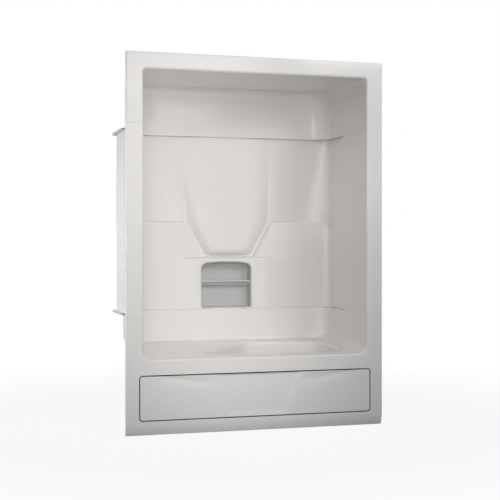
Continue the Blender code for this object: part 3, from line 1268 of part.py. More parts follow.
def make_overflow(tub):
    """The overflow plate in the basin, and the gasket and elbow behind it. Returns the elbow's foot."""
    place = overflow_place()

    def spot(x, y, z):
        return place @ Vector((x, y, z))

    ends = [spot(0, 0, -SHELL - CUT_OVERRUN), spot(0, 0, CUT_OVERRUN)]
    hole = rod_mesh("overflow_hole", *ends, OVERFLOW_HOLE_RADIUS)
    combine(tub, add_cutter("overflow_hole", hole), "DIFFERENCE")
    low = 2 * FIT_GAP
    face = low + OVERFLOW_PLATE_THICKNESS
    profile = (
        (0, face + OVERFLOW_PLATE_DOME),
        *[(OVERFLOW_PLATE_RADIUS * out, face + OVERFLOW_PLATE_DOME * rise) for out, rise in PLATE_DOME_SHARES],
        (OVERFLOW_PLATE_RADIUS, low + OVERFLOW_PLATE_THICKNESS / 2),
        (OVERFLOW_PLATE_RADIUS, low),
        (0, low),
    )
    plate = add_part("overflow_plate", turned_mesh("overflow_plate", profile, ROUND_STEPS, place), "chrome")
    head_low = face + OVERFLOW_PLATE_DOME + FIT_GAP
    spread = OVERFLOW_SCREW_SPREAD
    holes = [
        (spot(0, side * spread, -CUT_OVERRUN), spot(0, side * spread, face + CUT_OVERRUN)) for side in (-1, 1)
    ]
    hole_mesh = rods_mesh("plate_screw_holes", holes, OVERFLOW_SCREW_RADIUS + FIT_GAP, HOLE_SIDES)
    combine(plate, add_cutter("plate_screw_holes", hole_mesh), "DIFFERENCE")
    width, height = OVERFLOW_SLOT
    slot_mesh = box_mesh(
        "plate_slot",
        (-OVERFLOW_SLOT_DROP - height / 2, -width / 2, -CUT_OVERRUN),
        (-OVERFLOW_SLOT_DROP + height / 2, width / 2, CUT_OVERRUN),
    )
    combine(plate, add_cutter("plate_slot", slot_mesh, place), "DIFFERENCE")

    gasket_front = -SHELL - FIT_GAP
    gasket_back = gasket_front - OVERFLOW_GASKET_THICKNESS
    ring = (
        (OVERFLOW_HOLE_RADIUS, gasket_front),
        (ELBOW_FLANGE_RADIUS, gasket_front),
        (ELBOW_FLANGE_RADIUS, gasket_back),
        (OVERFLOW_HOLE_RADIUS, gasket_back),
    )
    add_part("overflow_gasket", turned_mesh("overflow_gasket", ring, ROUND_STEPS, place), "rubber")

    front = gasket_back - FIT_GAP
    corner = spot(0, 0, -ELBOW_REACH)
    bore = PIPE_RADIUS + FIT_GAP
    outer = bore + SOCKET_BODY_WALL
    ends = [spot(0, 0, front), spot(0, 0, front - ELBOW_FLANGE_THICKNESS)]
    elbow = add_part("overflow_elbow", rod_mesh("overflow_elbow", *ends, ELBOW_FLANGE_RADIUS), "plastic")
    neck_start = spot(0, 0, front - ELBOW_FLANGE_THICKNESS / 2)
    neck = rod_mesh("elbow_neck", neck_start, corner, ELBOW_BORE + SOCKET_BODY_WALL)
    combine(elbow, add_cutter("elbow_neck", neck), "UNION")
    leg_top = corner + Vector((0, 0, outer))
    leg_foot = corner - Vector((0, 0, ELBOW_LEG))
    leg = rod_mesh("elbow_leg", leg_foot, leg_top, outer)
    combine(elbow, add_cutter("elbow_leg", leg), "UNION")
    way = rod_mesh("elbow_way", spot(0, 0, CUT_OVERRUN), corner, ELBOW_BORE)
    combine(elbow, add_cutter("elbow_way", way), "DIFFERENCE")
    leg_bore = rod_mesh("elbow_leg_bore", leg_foot - Vector((0, 0, CUT_OVERRUN)), corner, bore)
    combine(elbow, add_cutter("elbow_leg_bore", leg_bore), "DIFFERENCE")
    pilots = [
        (spot(0, side * spread, front - CUT_OVERRUN * 2), spot(0, side * spread, front + CUT_OVERRUN))
        for side in (-1, 1)
    ]
    pilot_mesh = rods_mesh("elbow_pilots", pilots, OVERFLOW_SCREW_RADIUS + FIT_GAP, HOLE_SIDES)
    combine(elbow, add_cutter("elbow_pilots", pilot_mesh), "DIFFERENCE")

    tip = -OVERFLOW_SCREW_LENGTH
    profile = (
        (0, OVERFLOW_SCREW_HEAD / 2),
        (OVERFLOW_SCREW_HEAD, 0),
        (OVERFLOW_SCREW_RADIUS, 0),
        (OVERFLOW_SCREW_RADIUS, tip),
        (0, tip),
    )
    screw = turned_mesh("overflow_screw", profile, HOLE_SIDES)
    for name, side in (("overflow_screw_front", -1), ("overflow_screw_back", 1)):
        add_part(name, screw, "chrome", place @ Matrix.Translation((0, side * spread, head_low)))
    return leg_foot


def pipe(name, start, end):
    """A plain pipe between two points, with its bore."""
    axis = end - start
    turn = axis.to_track_quat("Z", "Y").to_matrix().to_4x4()
    place = Matrix.Translation(start) @ turn
    bore = PIPE_RADIUS - PIPE_WALL
    profile = ((bore, axis.length), (PIPE_RADIUS, axis.length), (PIPE_RADIUS, 0), (bore, 0))
    return add_part(name, turned_mesh(name, profile, ROUND_STEPS, place), "plastic")


def make_waste(shoe_mouth, elbow_foot):
    """Waste tee under the overflow, the pipes between the fittings, the tailpiece and the slip nuts."""
    bore = PIPE_RADIUS + FIT_GAP
    outer = bore + SOCKET_BODY_WALL
    body = outer + TEE_EXTRA_WALL
    way = PIPE_RADIUS - PIPE_WALL
    centre = Vector((elbow_foot.x, shoe_mouth.y, WASTE_AXIS_HEIGHT))
    up = Vector((0, 0, 1))
    along = Vector((1, 0, 0))
    top = centre + up * (SOCKET_REACH + body)
    foot = centre - up * SOCKET_REACH
    side = centre - along * (SOCKET_REACH + body)
    tee = add_part("waste_tee", rod_mesh("waste_tee", foot, top, body), "plastic")
    combine(tee, add_cutter("tee_branch", rod_mesh("tee_branch", side, centre, outer)), "UNION")
    over = CUT_OVERRUN
    run = rod_mesh("tee_run", foot - up * over, top + up * over, way)
    combine(tee, add_cutter("tee_run", run), "DIFFERENCE")
    branch = rod_mesh("tee_branch_way", side - along * over, centre, way - FIT_GAP)
    combine(tee, add_cutter("tee_branch_way", branch), "DIFFERENCE")
    sockets = [
        (top - up * SOCKET_DEPTH, top + up * over),
        (foot - up * over, foot + up * SOCKET_DEPTH),
        (side - along * over, side + along * SOCKET_DEPTH),
    ]
    combine(tee, add_cutter("tee_sockets", rods_mesh("tee_sockets", sockets, bore)), "DIFFERENCE")

    into = SOCKET_DEPTH - FIT_GAP
    pipe("waste_pipe", shoe_mouth - along * into, side + along * into)
    pipe("overflow_pipe", top - up * into, elbow_foot + up * into)
    pipe("tailpiece", Vector((centre.x, centre.y, TAIL_CLEARANCE)), foot + up * into)

    nut_outer = bore + SLIP_NUT_WALL
    profile = ((bore, SLIP_NUT_LENGTH), (nut_outer, SLIP_NUT_LENGTH), (nut_outer, 0), (bore, 0))
    nut = turned_mesh("slip_nut", profile, ROUND_STEPS)
    mouths = {
        "shoe": (shoe_mouth, along),
        "tee_side": (side, -along),
        "tee_top": (top, up),
        "elbow": (elbow_foot, -up),
    }
    for name, (mouth, out) in mouths.items():
        turn = out.to_track_quat("Z", "Y").to_matrix().to_4x4()
        add_part(f"{name}_slip_nut", nut, "plastic", Matrix.Translation(mouth + out * FIT_GAP) @ turn)


def main():
    tub = make_tub()
    surround = make_wall_surround()
    roof = make_roof_cap()
    make_niche(surround)
    lower = make_joint_bolts("lower_joint", LOWER_JOINT_HEIGHT, PANEL_DEPTH, (tub, surround))
    upper = make_joint_bolts("upper_joint", UPPER_JOINT_HEIGHT, POCKET_TOP_DEPTH, (surround, roof))
    make_seal("lower_joint", LOWER_JOINT_HEIGHT, block_depth, PANEL_CORNER, PANEL_DEPTH, lower)
    make_seal("upper_joint", UPPER_JOINT_HEIGHT, recess_depth, POCKET_TOP_CORNER, POCKET_TOP_DEPTH, upper)
    make_panel_fixing(make_access_panel())
    make_base()
    shoe_mouth = make_drain()
    elbow_foot = make_overflow(tub)
    make_waste(shoe_mouth, elbow_foot)


main()
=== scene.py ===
"""The looks of a tub and shower unit: glossy acrylic mouldings with a glass fibre backing, a grey soap niche,
a pull-off access panel and its chrome and plastic waste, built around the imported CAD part.

Metres, +Z up. The open front faces -Y. Depths are measured back from the front face of the frame.
"""

import math

import bmesh
import bpy
from mathutils import Matrix, Vector


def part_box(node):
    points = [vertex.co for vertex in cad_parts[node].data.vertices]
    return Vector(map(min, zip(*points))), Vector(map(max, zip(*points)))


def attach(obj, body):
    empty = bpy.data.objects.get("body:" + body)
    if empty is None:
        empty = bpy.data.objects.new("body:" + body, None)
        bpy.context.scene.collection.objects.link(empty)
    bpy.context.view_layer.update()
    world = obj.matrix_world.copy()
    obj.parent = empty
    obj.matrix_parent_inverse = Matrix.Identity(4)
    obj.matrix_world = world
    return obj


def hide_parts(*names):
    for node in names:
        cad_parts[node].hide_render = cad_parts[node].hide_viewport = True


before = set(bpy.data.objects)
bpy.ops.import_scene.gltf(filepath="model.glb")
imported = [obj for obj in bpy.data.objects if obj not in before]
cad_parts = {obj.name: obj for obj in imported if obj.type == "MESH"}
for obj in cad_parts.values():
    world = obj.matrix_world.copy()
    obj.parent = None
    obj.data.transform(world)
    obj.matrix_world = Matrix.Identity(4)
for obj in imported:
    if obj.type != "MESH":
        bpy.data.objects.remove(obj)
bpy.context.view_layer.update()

# Overall size and wall
UNIT_WIDTH = 1.524
UNIT_HEIGHT = 2.130
UNIT_DEPTH = 0.813
SHELL = 0.005
FRONT = -UNIT_DEPTH / 2
OUTER_HALF = UNIT_WIDTH / 2

# Front frame
OPENING_HALF = 0.664
REAR_HALF = 0.697
CEILING_HEIGHT = 2.035
OPENING_ROUND = 0.014
FRAME_EDGE_ROUND = 0.006
FLANGE_WIDTH = 0.030

# Joints between the mouldings
LOWER_JOINT = (0.6532, 0.6548)
UPPER_JOINT = (1.7362, 1.7378)
FOLD_ROUND = 0.0014
SEAL_INSET = 0.0009
SEAL_WIDTH = 0.005
SEAL_CLEARANCE = 0.0001

# Depths of the wall surfaces, and plan corners across and along the depth
BAND_DEPTH = 0.695
PANEL_DEPTH = 0.718
BLOCK_DEPTH = 0.700
POCKET_TOP_DEPTH = 0.726
POCKET_DEPTH = 0.8069
POCKET_RUN = 0.220
POCKET_INNER_SHARE = 0.45
ROOF_BACK_DEPTH = 0.702
STEP_DEPTHS = (0.380, 0.388)
BAND_CORNER = (0.090, 0.060)
PANEL_CORNER = (0.045, 0.040)
POCKET_CORNER = (0.170, 0.100)
POCKET_TOP_CORNER = (0.060, 0.045)
ROOF_CORNER = (0.150, 0.130)
ROOF_CORNER_GROWTH = 0.080

# Shelf line, notch, centre column and niche block
SHELF_HEIGHT = 1.202
SHELF_DIP = 0.024
SHELF_EDGE = 0.008
SHELF_FALL = 0.002
POCKET_FOOT_ROUND = 0.010
NOTCH_HEIGHT = 0.984
NOTCH_FOOT_HALF = 0.188
NOTCH_TOP_HALF = 0.308
NOTCH_BEND = 0.05
COLUMN_HALF = 0.238
COLUMN_INSET = 0.024
COLUMN_SIDE_RUNS = (0.130, 0.100)
COLUMN_CROWN = 0.012
COLUMN_CHIN = 0.055
BLOCK_HALF = 0.262
BLOCK_SIDE_RUN = 0.110
BLOCK_BEND = 0.5
BLOCK_TOP = 0.974
BLOCK_EDGE = 0.008
BLOCK_FOOT_FILLET = 0.002
GROOVE_DEPTH = 0.008
GROOVE_HEIGHT = 0.008

# The left side of the notch and block stands in a little from the mirror of the right one
LEAN = 0.043
LEAN_START = 0.020
LEAN_RUN = 0.100
LEAN_END = 0.520
LEAN_TOP = 1.560
LEAN_OVER_NICHE = 0.958

# Niche and its lining
NICHE_HALF = 0.163
NICHE_BOTTOM = 0.664
NICHE_TOP = 0.946
NICHE_CROWN = 0.005
NICHE_TOP_ROUND = 0.045
NICHE_BOTTOM_ROUND = 0.012
NICHE_DEPTH = 0.794
MOUTH_ROUND = 0.008
LINING_WALL = 0.003
LINING_FILLET = 0.009
LINING_LEAST_ROUNDS = (0.0096, 0.027)
FIT = 0.0003
SOAP_SHELF = (0.803, 0.815)
SOAP_SHELF_FRONT = 0.749
SOAP_LIP = 0.0042
SOAP_LIP_TOP = ((2, 0), (1, 0.6), (0, 0.4))
SOAP_LIP_FOOT = ((0, 0.5), (0.5, 0))
BAR_RADIUS = 0.008
BAR_HEIGHT = 0.828
BAR_DEPTH = 0.728
BOSS_RADIUS = 0.012
BOSS_LENGTH = 0.0075

# Tub
RIM_HEIGHT = 0.421
DECK_BACK_HEIGHT = 0.457
TUB_COVE = 0.052
DECK_BACK_COVE = 0.020
BASIN_CENTRE = (0.0825, 0.345)
BASIN_HALF = (0.4975, 0.245)
BASIN_FLOOR_CENTRE = (0.160, 0.345)
BASIN_FLOOR_HALF = (0.365, 0.165)
BASIN_FLOOR_HEIGHT = 0.089
BASIN_FLOOR_FALL = 0.004
BASIN_EDGE_ROUND = 0.020
BASIN_WALL_SHARES = ((0, 0), (0.12, 0.34), (0.26, 0.58), (0.44, 0.78), (0.70, 0.94), (1.0, 1.0))
BACKREST_SQUARENESS = 2.1
DRAIN_END_SQUARENESS = 4.0
SLANT_FACING = 137.2
SLANT_OFFSETS = (0.347, 0.267)
SLANT_CORNER = 9
DRAIN_X = 0.460
DRAIN_SEAT_HEIGHT = 0.080
DRAIN_SEAT_RADIUS = 0.038
DRAIN_HOLE_RADIUS = 0.0225
FLOOR_RING_SHARES = (0.3, 0.65)
FOOT_HEIGHT = 0.070
FOOT_TUCK = 0.021
FOOT_ROWS = 6

# Slip-resistant studs on the basin floor
STUD_SIZES = {
    "Floor Length": 0.660,
    "Floor Width": 0.270,
    "Pitch": 0.026,
    "Stud Radius": 0.0055,
    "Stud Height": 0.0009,
    "Drain Clearance": 0.062,
    "Drop": 0.300,
}
STUD_DOME = {"Segments": 16, "Rings": 8, "Radius": 1.0}

# Roof
ROOF_CEILING_COVE = 0.017
ROOF_COVE_GROWTH = 0.085
ROOF_BACK_COVE = 0.050

# Access opening and its pull-off panel
ACCESS_HALF = 0.687
ACCESS_HEIGHTS = (0.080, 0.332)
ACCESS_ROUND = 0.018
PANEL_GAP = 0.003
LIP_RELIEF = 0.0015
PANEL_EDGE_ROUND = 0.0025
PANEL_EDGE_FADE = PANEL_EDGE_ROUND * 3
OPENING_LIP_ROUND = 0.0025
RELIEF_DEPTH = 0.009
RELIEF_SLOPE = 0.030
RELIEF_BEND = 0.3
RELIEF_HALVES = (0.150, 0.232)
RELIEF_FOOT_HEIGHT = 0.118
STRIP_RISE = 0.018
STRIP_WALL = 0.003
STRIP_DEPTH = 0.021
STRIP_DROP = 0.034
SWOOSH_DEPTH = 0.006
SWOOSH_FADE = 0.040
SWOOSH_RISE = 6
SWOOSH_FALL = 4
SWOOSH_BEND = 0.4
SWOOSH_INNER = (0.262, 0.284)
SWOOSH_OUTER = (0.600, 0.324)

# Fineness
SHARP_ANGLE = 35
CORNER_STEPS = 14
STEP_STEPS = 8
ROUND_STEPS = 6
FOLD_STEPS = 4
ARCH_STEPS = 4
LIP_STEPS = 3
COVE_STEPS = 10
OUTLINE_STEPS = 10
BACK_COLUMNS = 48
OUTER_COLUMNS = 5
FLOOR_COLUMNS = 24
STATIONS = 16
BASIN_WALL_ROWS = 18
BASIN_EDGE_STEPS = 8
PANEL_COLUMNS = 150
PANEL_ROWS = 44
ROD_SIDES = 24
JAMB_SHARES = (0.9, 0.5, 0.15)
PANEL_EDGE_SHARES = (0, 0.1, 0.3, 0.6, 1)
POCKET_ROWS = (0.02, 0.04, 0.06, 0.08, 0.10, 0.13, 0.17, 0.22, 0.28, 0.36, 0.46, 0.58, 0.72, 0.86)
QUARTER_TURN = math.pi / 2
ARC_WEIGHT = math.sqrt(0.5)
WELD = 0.00001


def at(x, depth, z):
    """A point by its distance from the middle, its depth behind the front face and its height."""
    return Vector((x, FRONT + depth, z))


def between(low, high, share):
    return low + (high - low) * share


def pair_between(low, high, share):
    return tuple(between(a, b, share) for a, b in zip(low, high))


def clamp(share):
    return min(1.0, max(0.0, share))


def smooth(share):
    share = clamp(share)
    return share * share * (3 - 2 * share)


def rounded(share):
    """From 0 to 1, steep at first and then rounding off."""
    return 1 - (1 - clamp(share)) ** 3


def ramp(share, ease):
    """0 below 0, 1 above 1 and straight between, with both bends eased over a share."""

    def bend(value):
        if abs(value) < ease:
            return (value + ease) ** 2 / (4 * ease)
        return max(0.0, value)

    return bend(share) - bend(share - 1)


def shares(count):
    return [step / count for step in range(count + 1)]


def quarter(steps):
    """The sine and cosine at even steps of a quarter turn."""
    angles = [QUARTER_TURN * share for share in shares(steps)]
    return [(math.sin(angle), math.cos(angle)) for angle in angles]


def fillet(radius, steps):
    """A rounded edge at even steps, from its one side to the other: how far in from each of the two."""
    return [(radius * (1 - sine), radius * (1 - cosine)) for sine, cosine in quarter(steps)]


def flipped(row):
    return [Vector((-p.x, p.y, p.z)) for p in row]


def mirrored(half):
    """A whole row from its right half, which starts on the middle plane."""
    return flipped(half[:0:-1]) + half


def whole(half):
    """A whole row from a half row that ends on the middle plane."""
    return half + flipped(half[-2::-1])


def rounded_corner(before, corner, after, reach):
    """Points round a corner, which starts and ends at most a reach away from it."""
    towards = before - corner
    onwards = after - corner
    start = corner + towards.normalized() * min(reach, towards.length / 2)
    end = corner + onwards.normalized() * min(reach, onwards.length / 2)
    points = []
    for share in shares(FOLD_STEPS):
        weights = ((1 - share) ** 2, 2 * ARC_WEIGHT * share * (1 - share), share**2)
        points.append((start * weights[0] + corner * weights[1] + end * weights[2]) / sum(weights))
    return points


def rounded_rows(rows, reaches):
    """Rows with the folds between them rounded. reaches gives the size of each row's fold, 0 for none."""
    made = []
    for count, (row, reach) in enumerate(zip(rows, reaches)):
        if reach:
            near = zip(rows[count - 1], row, rows[count + 1])
            folds = [rounded_corner(*points, reach) for points in near]
            made += [list(points) for points in zip(*folds)]
        else:
            made.append(row)
    return made


def skin(bm, rows, closed=False):
    """Faces between each row of points and the next."""
    made = [[bm.verts.new(point) for point in row] for row in rows]
    for lower, upper in zip(made, made[1:]):
        count = len(lower)
        for here in range(count if closed else count - 1):
            after = (here + 1) % count
            bm.faces.new((lower[here], lower[after], upper[after], upper[here]))


def side_skins(bm, rows):
    """A skin on the right side and its mirror image on the left."""
    skin(bm, rows)
    skin(bm, [flipped(row) for row in rows])


def cap(bm, row):
    """One face over a closed row of points."""
    bm.faces.new([bm.verts.new(point) for point in row])


def bar(rows):
    """A closed bar through rows of points, with both of its ends capped."""
    bm = bmesh.new()
    skin(bm, rows, closed=True)
    cap(bm, rows[0])
    cap(bm, rows[-1])
    weld(bm)
    return bm


def linked(name, data):
    """An object of the scene, with its data."""
    obj = bpy.data.objects.new(name, data)
    bpy.context.scene.collection.objects.link(obj)
    return obj


def flat_face(bm, *loops):
    """A flat face inside the first loop of points, with the others as holes."""
    edges = []
    for loop in loops:
        corners = [bm.verts.new(point) for point in loop]
        edges += [bm.edges.new(pair) for pair in zip(corners, corners[1:] + corners[:1])]
    bmesh.ops.triangle_fill(bm, use_beauty=True, edges=edges)


def weld(bm, eye=None):
    """Merged points and faces that point outwards, or towards an eye where the skin is open."""
    bmesh.ops.remove_doubles(bm, verts=bm.verts, dist=WELD)
    bmesh.ops.dissolve_degenerate(bm, edges=bm.edges, dist=WELD)
    bmesh.ops.recalc_face_normals(bm, faces=bm.faces)
    if eye:
        facing = sum(face.normal.dot(eye - face.calc_center_median()) * face.calc_area() for face in bm.faces)
        if facing < 0:
            bmesh.ops.reverse_faces(bm, faces=bm.faces)


def piece(name, bm, body, finishes):
    """A shown piece of the unit, which rides on a body and has its finishes."""
    mesh = bpy.data.meshes.new(name)
    bm.to_mesh(mesh)
    bm.free()
    mesh.shade_smooth()
    mesh.set_sharp_from_angle(angle=math.radians(SHARP_ANGLE))
    obj = linked(name, mesh)
    for finish in finishes:
        mesh.materials.append(finish)
    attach(obj, body)
    return obj


def moulding(name, bm, eye_height, body, finishes, wall=SHELL):
    """A moulded sheet: its shown skin, the wall behind it and the rough backing."""
    weld(bm, at(0, -UNIT_DEPTH, eye_height))
    obj = piece(name, bm, body, finishes)
    thickness = obj.modifiers.new("wall", "SOLIDIFY")
    thickness.thickness = wall
    thickness.offset = -1
    thickness.material_offset = 1
    normals = obj.modifiers.new("even_shading", "WEIGHTED_NORMAL")
    normals.keep_sharp = True
    return obj


def arc(centre, radius, start, end):
    """Points of an arc about (x, z), with angles in degrees."""
    angles = [math.radians(between(start, end, share)) for share in shares(OUTLINE_STEPS)]
    return [(centre[0] + radius * math.cos(angle), centre[1] + radius * math.sin(angle)) for angle in angles]


def opening_outline(half, bottom, top, low_round, high_round, crown=0.0):
    """A rectangle with round corners and a slightly arched top, as (x, z), anticlockwise from its foot."""
    x_high = half - high_round
    right = arc((half - low_round, bottom + low_round), low_round, -90, 0)
    right += arc((x_high, top - high_round), high_round, 0, 90)
    right += [(x_high * share, top + crown * (1 - share**2)) for share in reversed(shares(ARCH_STEPS)[:-1])]
    return right + [(-x, z) for x, z in reversed(right[:-1])]


def niche_outline(grow, least_low=WELD, least_high=WELD):
    """The niche's outline grown by a distance, with corners of at least these radii."""
    low_round = max(least_low, NICHE_BOTTOM_ROUND + grow)
    high_round = max(least_high, NICHE_TOP_ROUND + grow)
    half = NICHE_HALF + grow
    return opening_outline(half, NICHE_BOTTOM - grow, NICHE_TOP + grow, low_round, high_round, NICHE_CROWN)


def access_outline(grow):
    low, high = ACCESS_HEIGHTS
    corner = ACCESS_ROUND + grow
    return opening_outline(ACCESS_HALF + grow, low - grow, high + grow, corner, corner)


def ring(outline, depth):
    return [at(x, depth, z) for x, z in outline]


# Walls

FRAME_POINTS = ROUND_STEPS + 2
BACK_POINTS = BACK_COLUMNS + 1 + OUTER_COLUMNS
SIDE_TIP = REAR_HALF + FLANGE_WIDTH
FRONT_TIP = OPENING_HALF + FLANGE_WIDTH


def front_section(z):
    """The front part of the side wall, the rounded edge of the opening, the jamb and its return."""
    points = [at(OPENING_HALF, STEP_DEPTHS[0] * share, z) for share in JAMB_SHARES]
    points += [at(OPENING_HALF + out, depth, z) for depth, out in fillet(OPENING_ROUND, ROUND_STEPS)]
    points += [at(OUTER_HALF - inset, depth, z) for inset, depth in fillet(FRAME_EDGE_ROUND, ROUND_STEPS)]
    return [*points, at(OUTER_HALF, FLANGE_WIDTH, z)]


def half_section(back, corner, level):
    """Right half of a level section of the walls and the jamb, from the middle of the back wall."""
    across, along = corner
    corner_x = REAR_HALF - across
    notch_edge = NOTCH_TOP_HALF + SHELF_EDGE * 2
    xs = [notch_edge * share for share in shares(BACK_COLUMNS)]
    xs += [between(notch_edge, corner_x, share) for share in shares(OUTER_COLUMNS)[1:]]
    points = [at(x, back(x, level(x, 0)), level(x, 0)) for x in xs]
    depth = back(corner_x, level(corner_x, 0))
    for sine, cosine in quarter(CORNER_STEPS)[1:]:
        x = corner_x + across * sine
        points.append(at(x, depth - along * (1 - cosine), level(x, sine)))
    z = level(REAR_HALF, 1)
    for share in shares(STEP_STEPS):
        x = between(REAR_HALF, OPENING_HALF, smooth(share))
        points.append(at(x, between(STEP_DEPTHS[1], STEP_DEPTHS[0], share), z))
    return points + front_section(z)


def tip_corner(back_points, back_depth):
    """A joint flange's outer edge along the back wall, point for point, and round the room corner."""
    z = back_points[0].z
    depth = back_depth + FLANGE_WIDTH
    corner_x = REAR_HALF - PANEL_CORNER[0]
    along = PANEL_CORNER[1] + FLANGE_WIDTH
    last_back = back_points[-1].x
    tip = [at(p.x * corner_x / last_back, depth, z) for p in back_points]
    for sine, cosine in quarter(CORNER_STEPS)[1:]:
        tip.append(at(between(corner_x, SIDE_TIP, sine), depth - along * (1 - cosine), z))
    return tip


def joint_tip(points, back_depth):
    """The outer edge of a joint flange, point for point with the half section that it goes round."""
    z = points[0].z
    tip = tip_corner(points[:BACK_POINTS], back_depth)
    for share, p in zip(shares(STEP_STEPS), points[len(tip) :]):
        tip.append(at(between(SIDE_TIP, FRONT_TIP, smooth(share)), p.y - FRONT - FLANGE_WIDTH, z))
    for p in points[len(tip) : -FRAME_POINTS]:
        tip.append(at(FRONT_TIP, max(FLANGE_WIDTH, p.y - FRONT - FLANGE_WIDTH), z))
    return tip + [at(OUTER_HALF, FLANGE_WIDTH, z)] * FRAME_POINTS


def notch_line(x):
    """Height of the edge over the lower wall panel: level shelves and between them a notch."""
    share = (abs(x) - NOTCH_FOOT_HALF) / (NOTCH_TOP_HALF - NOTCH_FOOT_HALF)
    return between(NOTCH_HEIGHT, SHELF_HEIGHT, ramp(share, NOTCH_BEND))


def lean(point):
    """How far the left side of the notch and of the niche block stands in from the mirrored place."""
    over_niche = smooth((point.z - LEAN_OVER_NICHE) / (NOTCH_HEIGHT - LEAN_OVER_NICHE))
    start = between(NICHE_HALF + MOUTH_ROUND, LEAN_START, over_niche)
    run = between(LEAN_RUN, NOTCH_FOOT_HALF - LEAN_START, over_niche)
    near = smooth((-point.x - start) / run) * smooth((LEAN_END + point.x) / (LEAN_END - NOTCH_TOP_HALF))
    top = smooth((LEAN_TOP - point.z) / (LEAN_TOP - SHELF_HEIGHT))
    on_back_wall = point.y - FRONT > BAND_DEPTH - SHELF_EDGE
    return LEAN * near * top if on_back_wall else 0.0


def pocket_share(z):
    """How far the recess over the shelves has deepened: 0 at the upper ledge, 1 at the shelf."""
    middle = sum(UPPER_JOINT) / 2
    return clamp((middle - z) / (middle - SHELF_HEIGHT))


def column_share(x, z):
    """1 on the face of the centre column and 0 off it. Below the shelves it narrows with the notch."""
    below = clamp((SHELF_HEIGHT - z) / (SHELF_HEIGHT - NOTCH_HEIGHT))
    outer = between(NOTCH_TOP_HALF, NOTCH_FOOT_HALF, below) - COLUMN_INSET
    run = between(*COLUMN_SIDE_RUNS, below)
    return rounded((outer - abs(x)) / run) * rounded((z - NOTCH_HEIGHT) / COLUMN_CHIN)


def beside_block(x):
    """0 on the face of the niche block and 1 beside it."""
    return ramp((abs(x) - BLOCK_HALF) / BLOCK_SIDE_RUN, BLOCK_BEND)


def recess_depth(x, z):
    """Depth of the wall over the shelves and in the notch: the pockets, with the centre column in them."""
    near_column = 1 - smooth((abs(x) - NOTCH_TOP_HALF) / POCKET_RUN)
    share = pocket_share(z) * between(1, POCKET_INNER_SHARE, near_column)
    pocket = between(POCKET_TOP_DEPTH, POCKET_DEPTH, share)
    crown = COLUMN_CROWN * (1 - (x / COLUMN_HALF) ** 2)
    return between(pocket, POCKET_TOP_DEPTH - max(0.0, crown), column_share(x, z))


def block_depth(x, z):
    """Depth of the lower wall with the niche block standing out of it."""
    return between(BLOCK_DEPTH, PANEL_DEPTH, beside_block(x))


def groove_depth(x, z):
    """The wall panel where it is undercut behind the block's ledge."""
    return PANEL_DEPTH + GROOVE_DEPTH * (1 - beside_block(x))


def flat_back(depth):
    return lambda x, z: depth


def shelf_level(offset):
    """A level that follows the shelf and notch line and dips at the room corners."""
    return lambda x, corner_share: notch_line(x) - SHELF_DIP * smooth(corner_share) + offset


def flat_level(height):
    return lambda x, corner_share: height


def blended_level(low, high, share):
    return lambda x, corner_share: between(low(x, corner_share), high(x, corner_share), share)


def pocket_row(level):
    corner = pair_between(POCKET_TOP_CORNER, POCKET_CORNER, pocket_share(level(REAR_HALF, 0)))
    return half_section(recess_depth, corner, level)


def wall_row(back, height):
    return half_section(back, PANEL_CORNER, flat_level(height))


def niche_block(bm, foot, head):
    """The lower wall between two rows, with the niche's rounded mouth in its middle."""
    face_count = next(count for count, p in enumerate(foot) if p.x > NICHE_HALF + MOUTH_ROUND * 2)
    side_skins(bm, [foot[face_count:], head[face_count:]])
    mouth = [ring(niche_outline(grow), BLOCK_DEPTH + back) for grow, back in fillet(MOUTH_ROUND, ROUND_STEPS)]
    mouth.append(ring(niche_outline(0), BLOCK_DEPTH + MOUTH_ROUND + SHELL))
    border = mirrored(foot[: face_count + 1]) + mirrored(head[: face_count + 1])[::-1]
    flat_face(bm, border, mouth[0])
    skin(bm, mouth, closed=True)


def wall_moulding(finishes):
    """Three walls in one moulding: niche block, shelves with their soft edges, pockets and centre column."""
    foot = shelf_level(SHELF_FALL)
    top = flat_level(UPPER_JOINT[0])
    first = wall_row(block_depth, LOWER_JOINT[1])
    block_foot = wall_row(block_depth, LOWER_JOINT[1] + FOLD_ROUND * 2)
    lower = rounded_rows([joint_tip(first, PANEL_DEPTH), first, block_foot], [0, FOLD_ROUND, 0])
    block_head = wall_row(block_depth, BLOCK_TOP - BLOCK_EDGE)
    upper = [
        block_head,
        wall_row(block_depth, BLOCK_TOP),
        wall_row(groove_depth, BLOCK_TOP + WELD),
        wall_row(flat_back(PANEL_DEPTH), BLOCK_TOP + GROOVE_HEIGHT),
        half_section(flat_back(PANEL_DEPTH), PANEL_CORNER, shelf_level(0)),
        pocket_row(foot),
        *(pocket_row(blended_level(foot, top, share)) for share in POCKET_ROWS),
        pocket_row(top),
    ]
    upper.append(joint_tip(upper[-1], POCKET_TOP_DEPTH))
    folds = [0, BLOCK_EDGE, BLOCK_FOOT_FILLET, 0, SHELF_EDGE, POCKET_FOOT_ROUND]
    upper = rounded_rows(upper, folds + [0] * len(POCKET_ROWS) + [FOLD_ROUND, 0])
    bm = bmesh.new()
    skin(bm, [mirrored(half) for half in lower])
    skin(bm, [mirrored(half) for half in upper])
    niche_block(bm, block_foot, block_head)
    for vert in bm.verts:
        vert.co.x += lean(vert.co)
    obj = moulding("wall_moulding", bm, UNIT_HEIGHT / 2, "unit", finishes)
    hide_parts("wall_surround")


# Tub and roof

END_WALL_SHARES = shares(4)
SIDE_POINTS = len(END_WALL_SHARES) + COVE_STEPS
FLOOR_SHARES = shares(FLOOR_COLUMNS)[::-1]


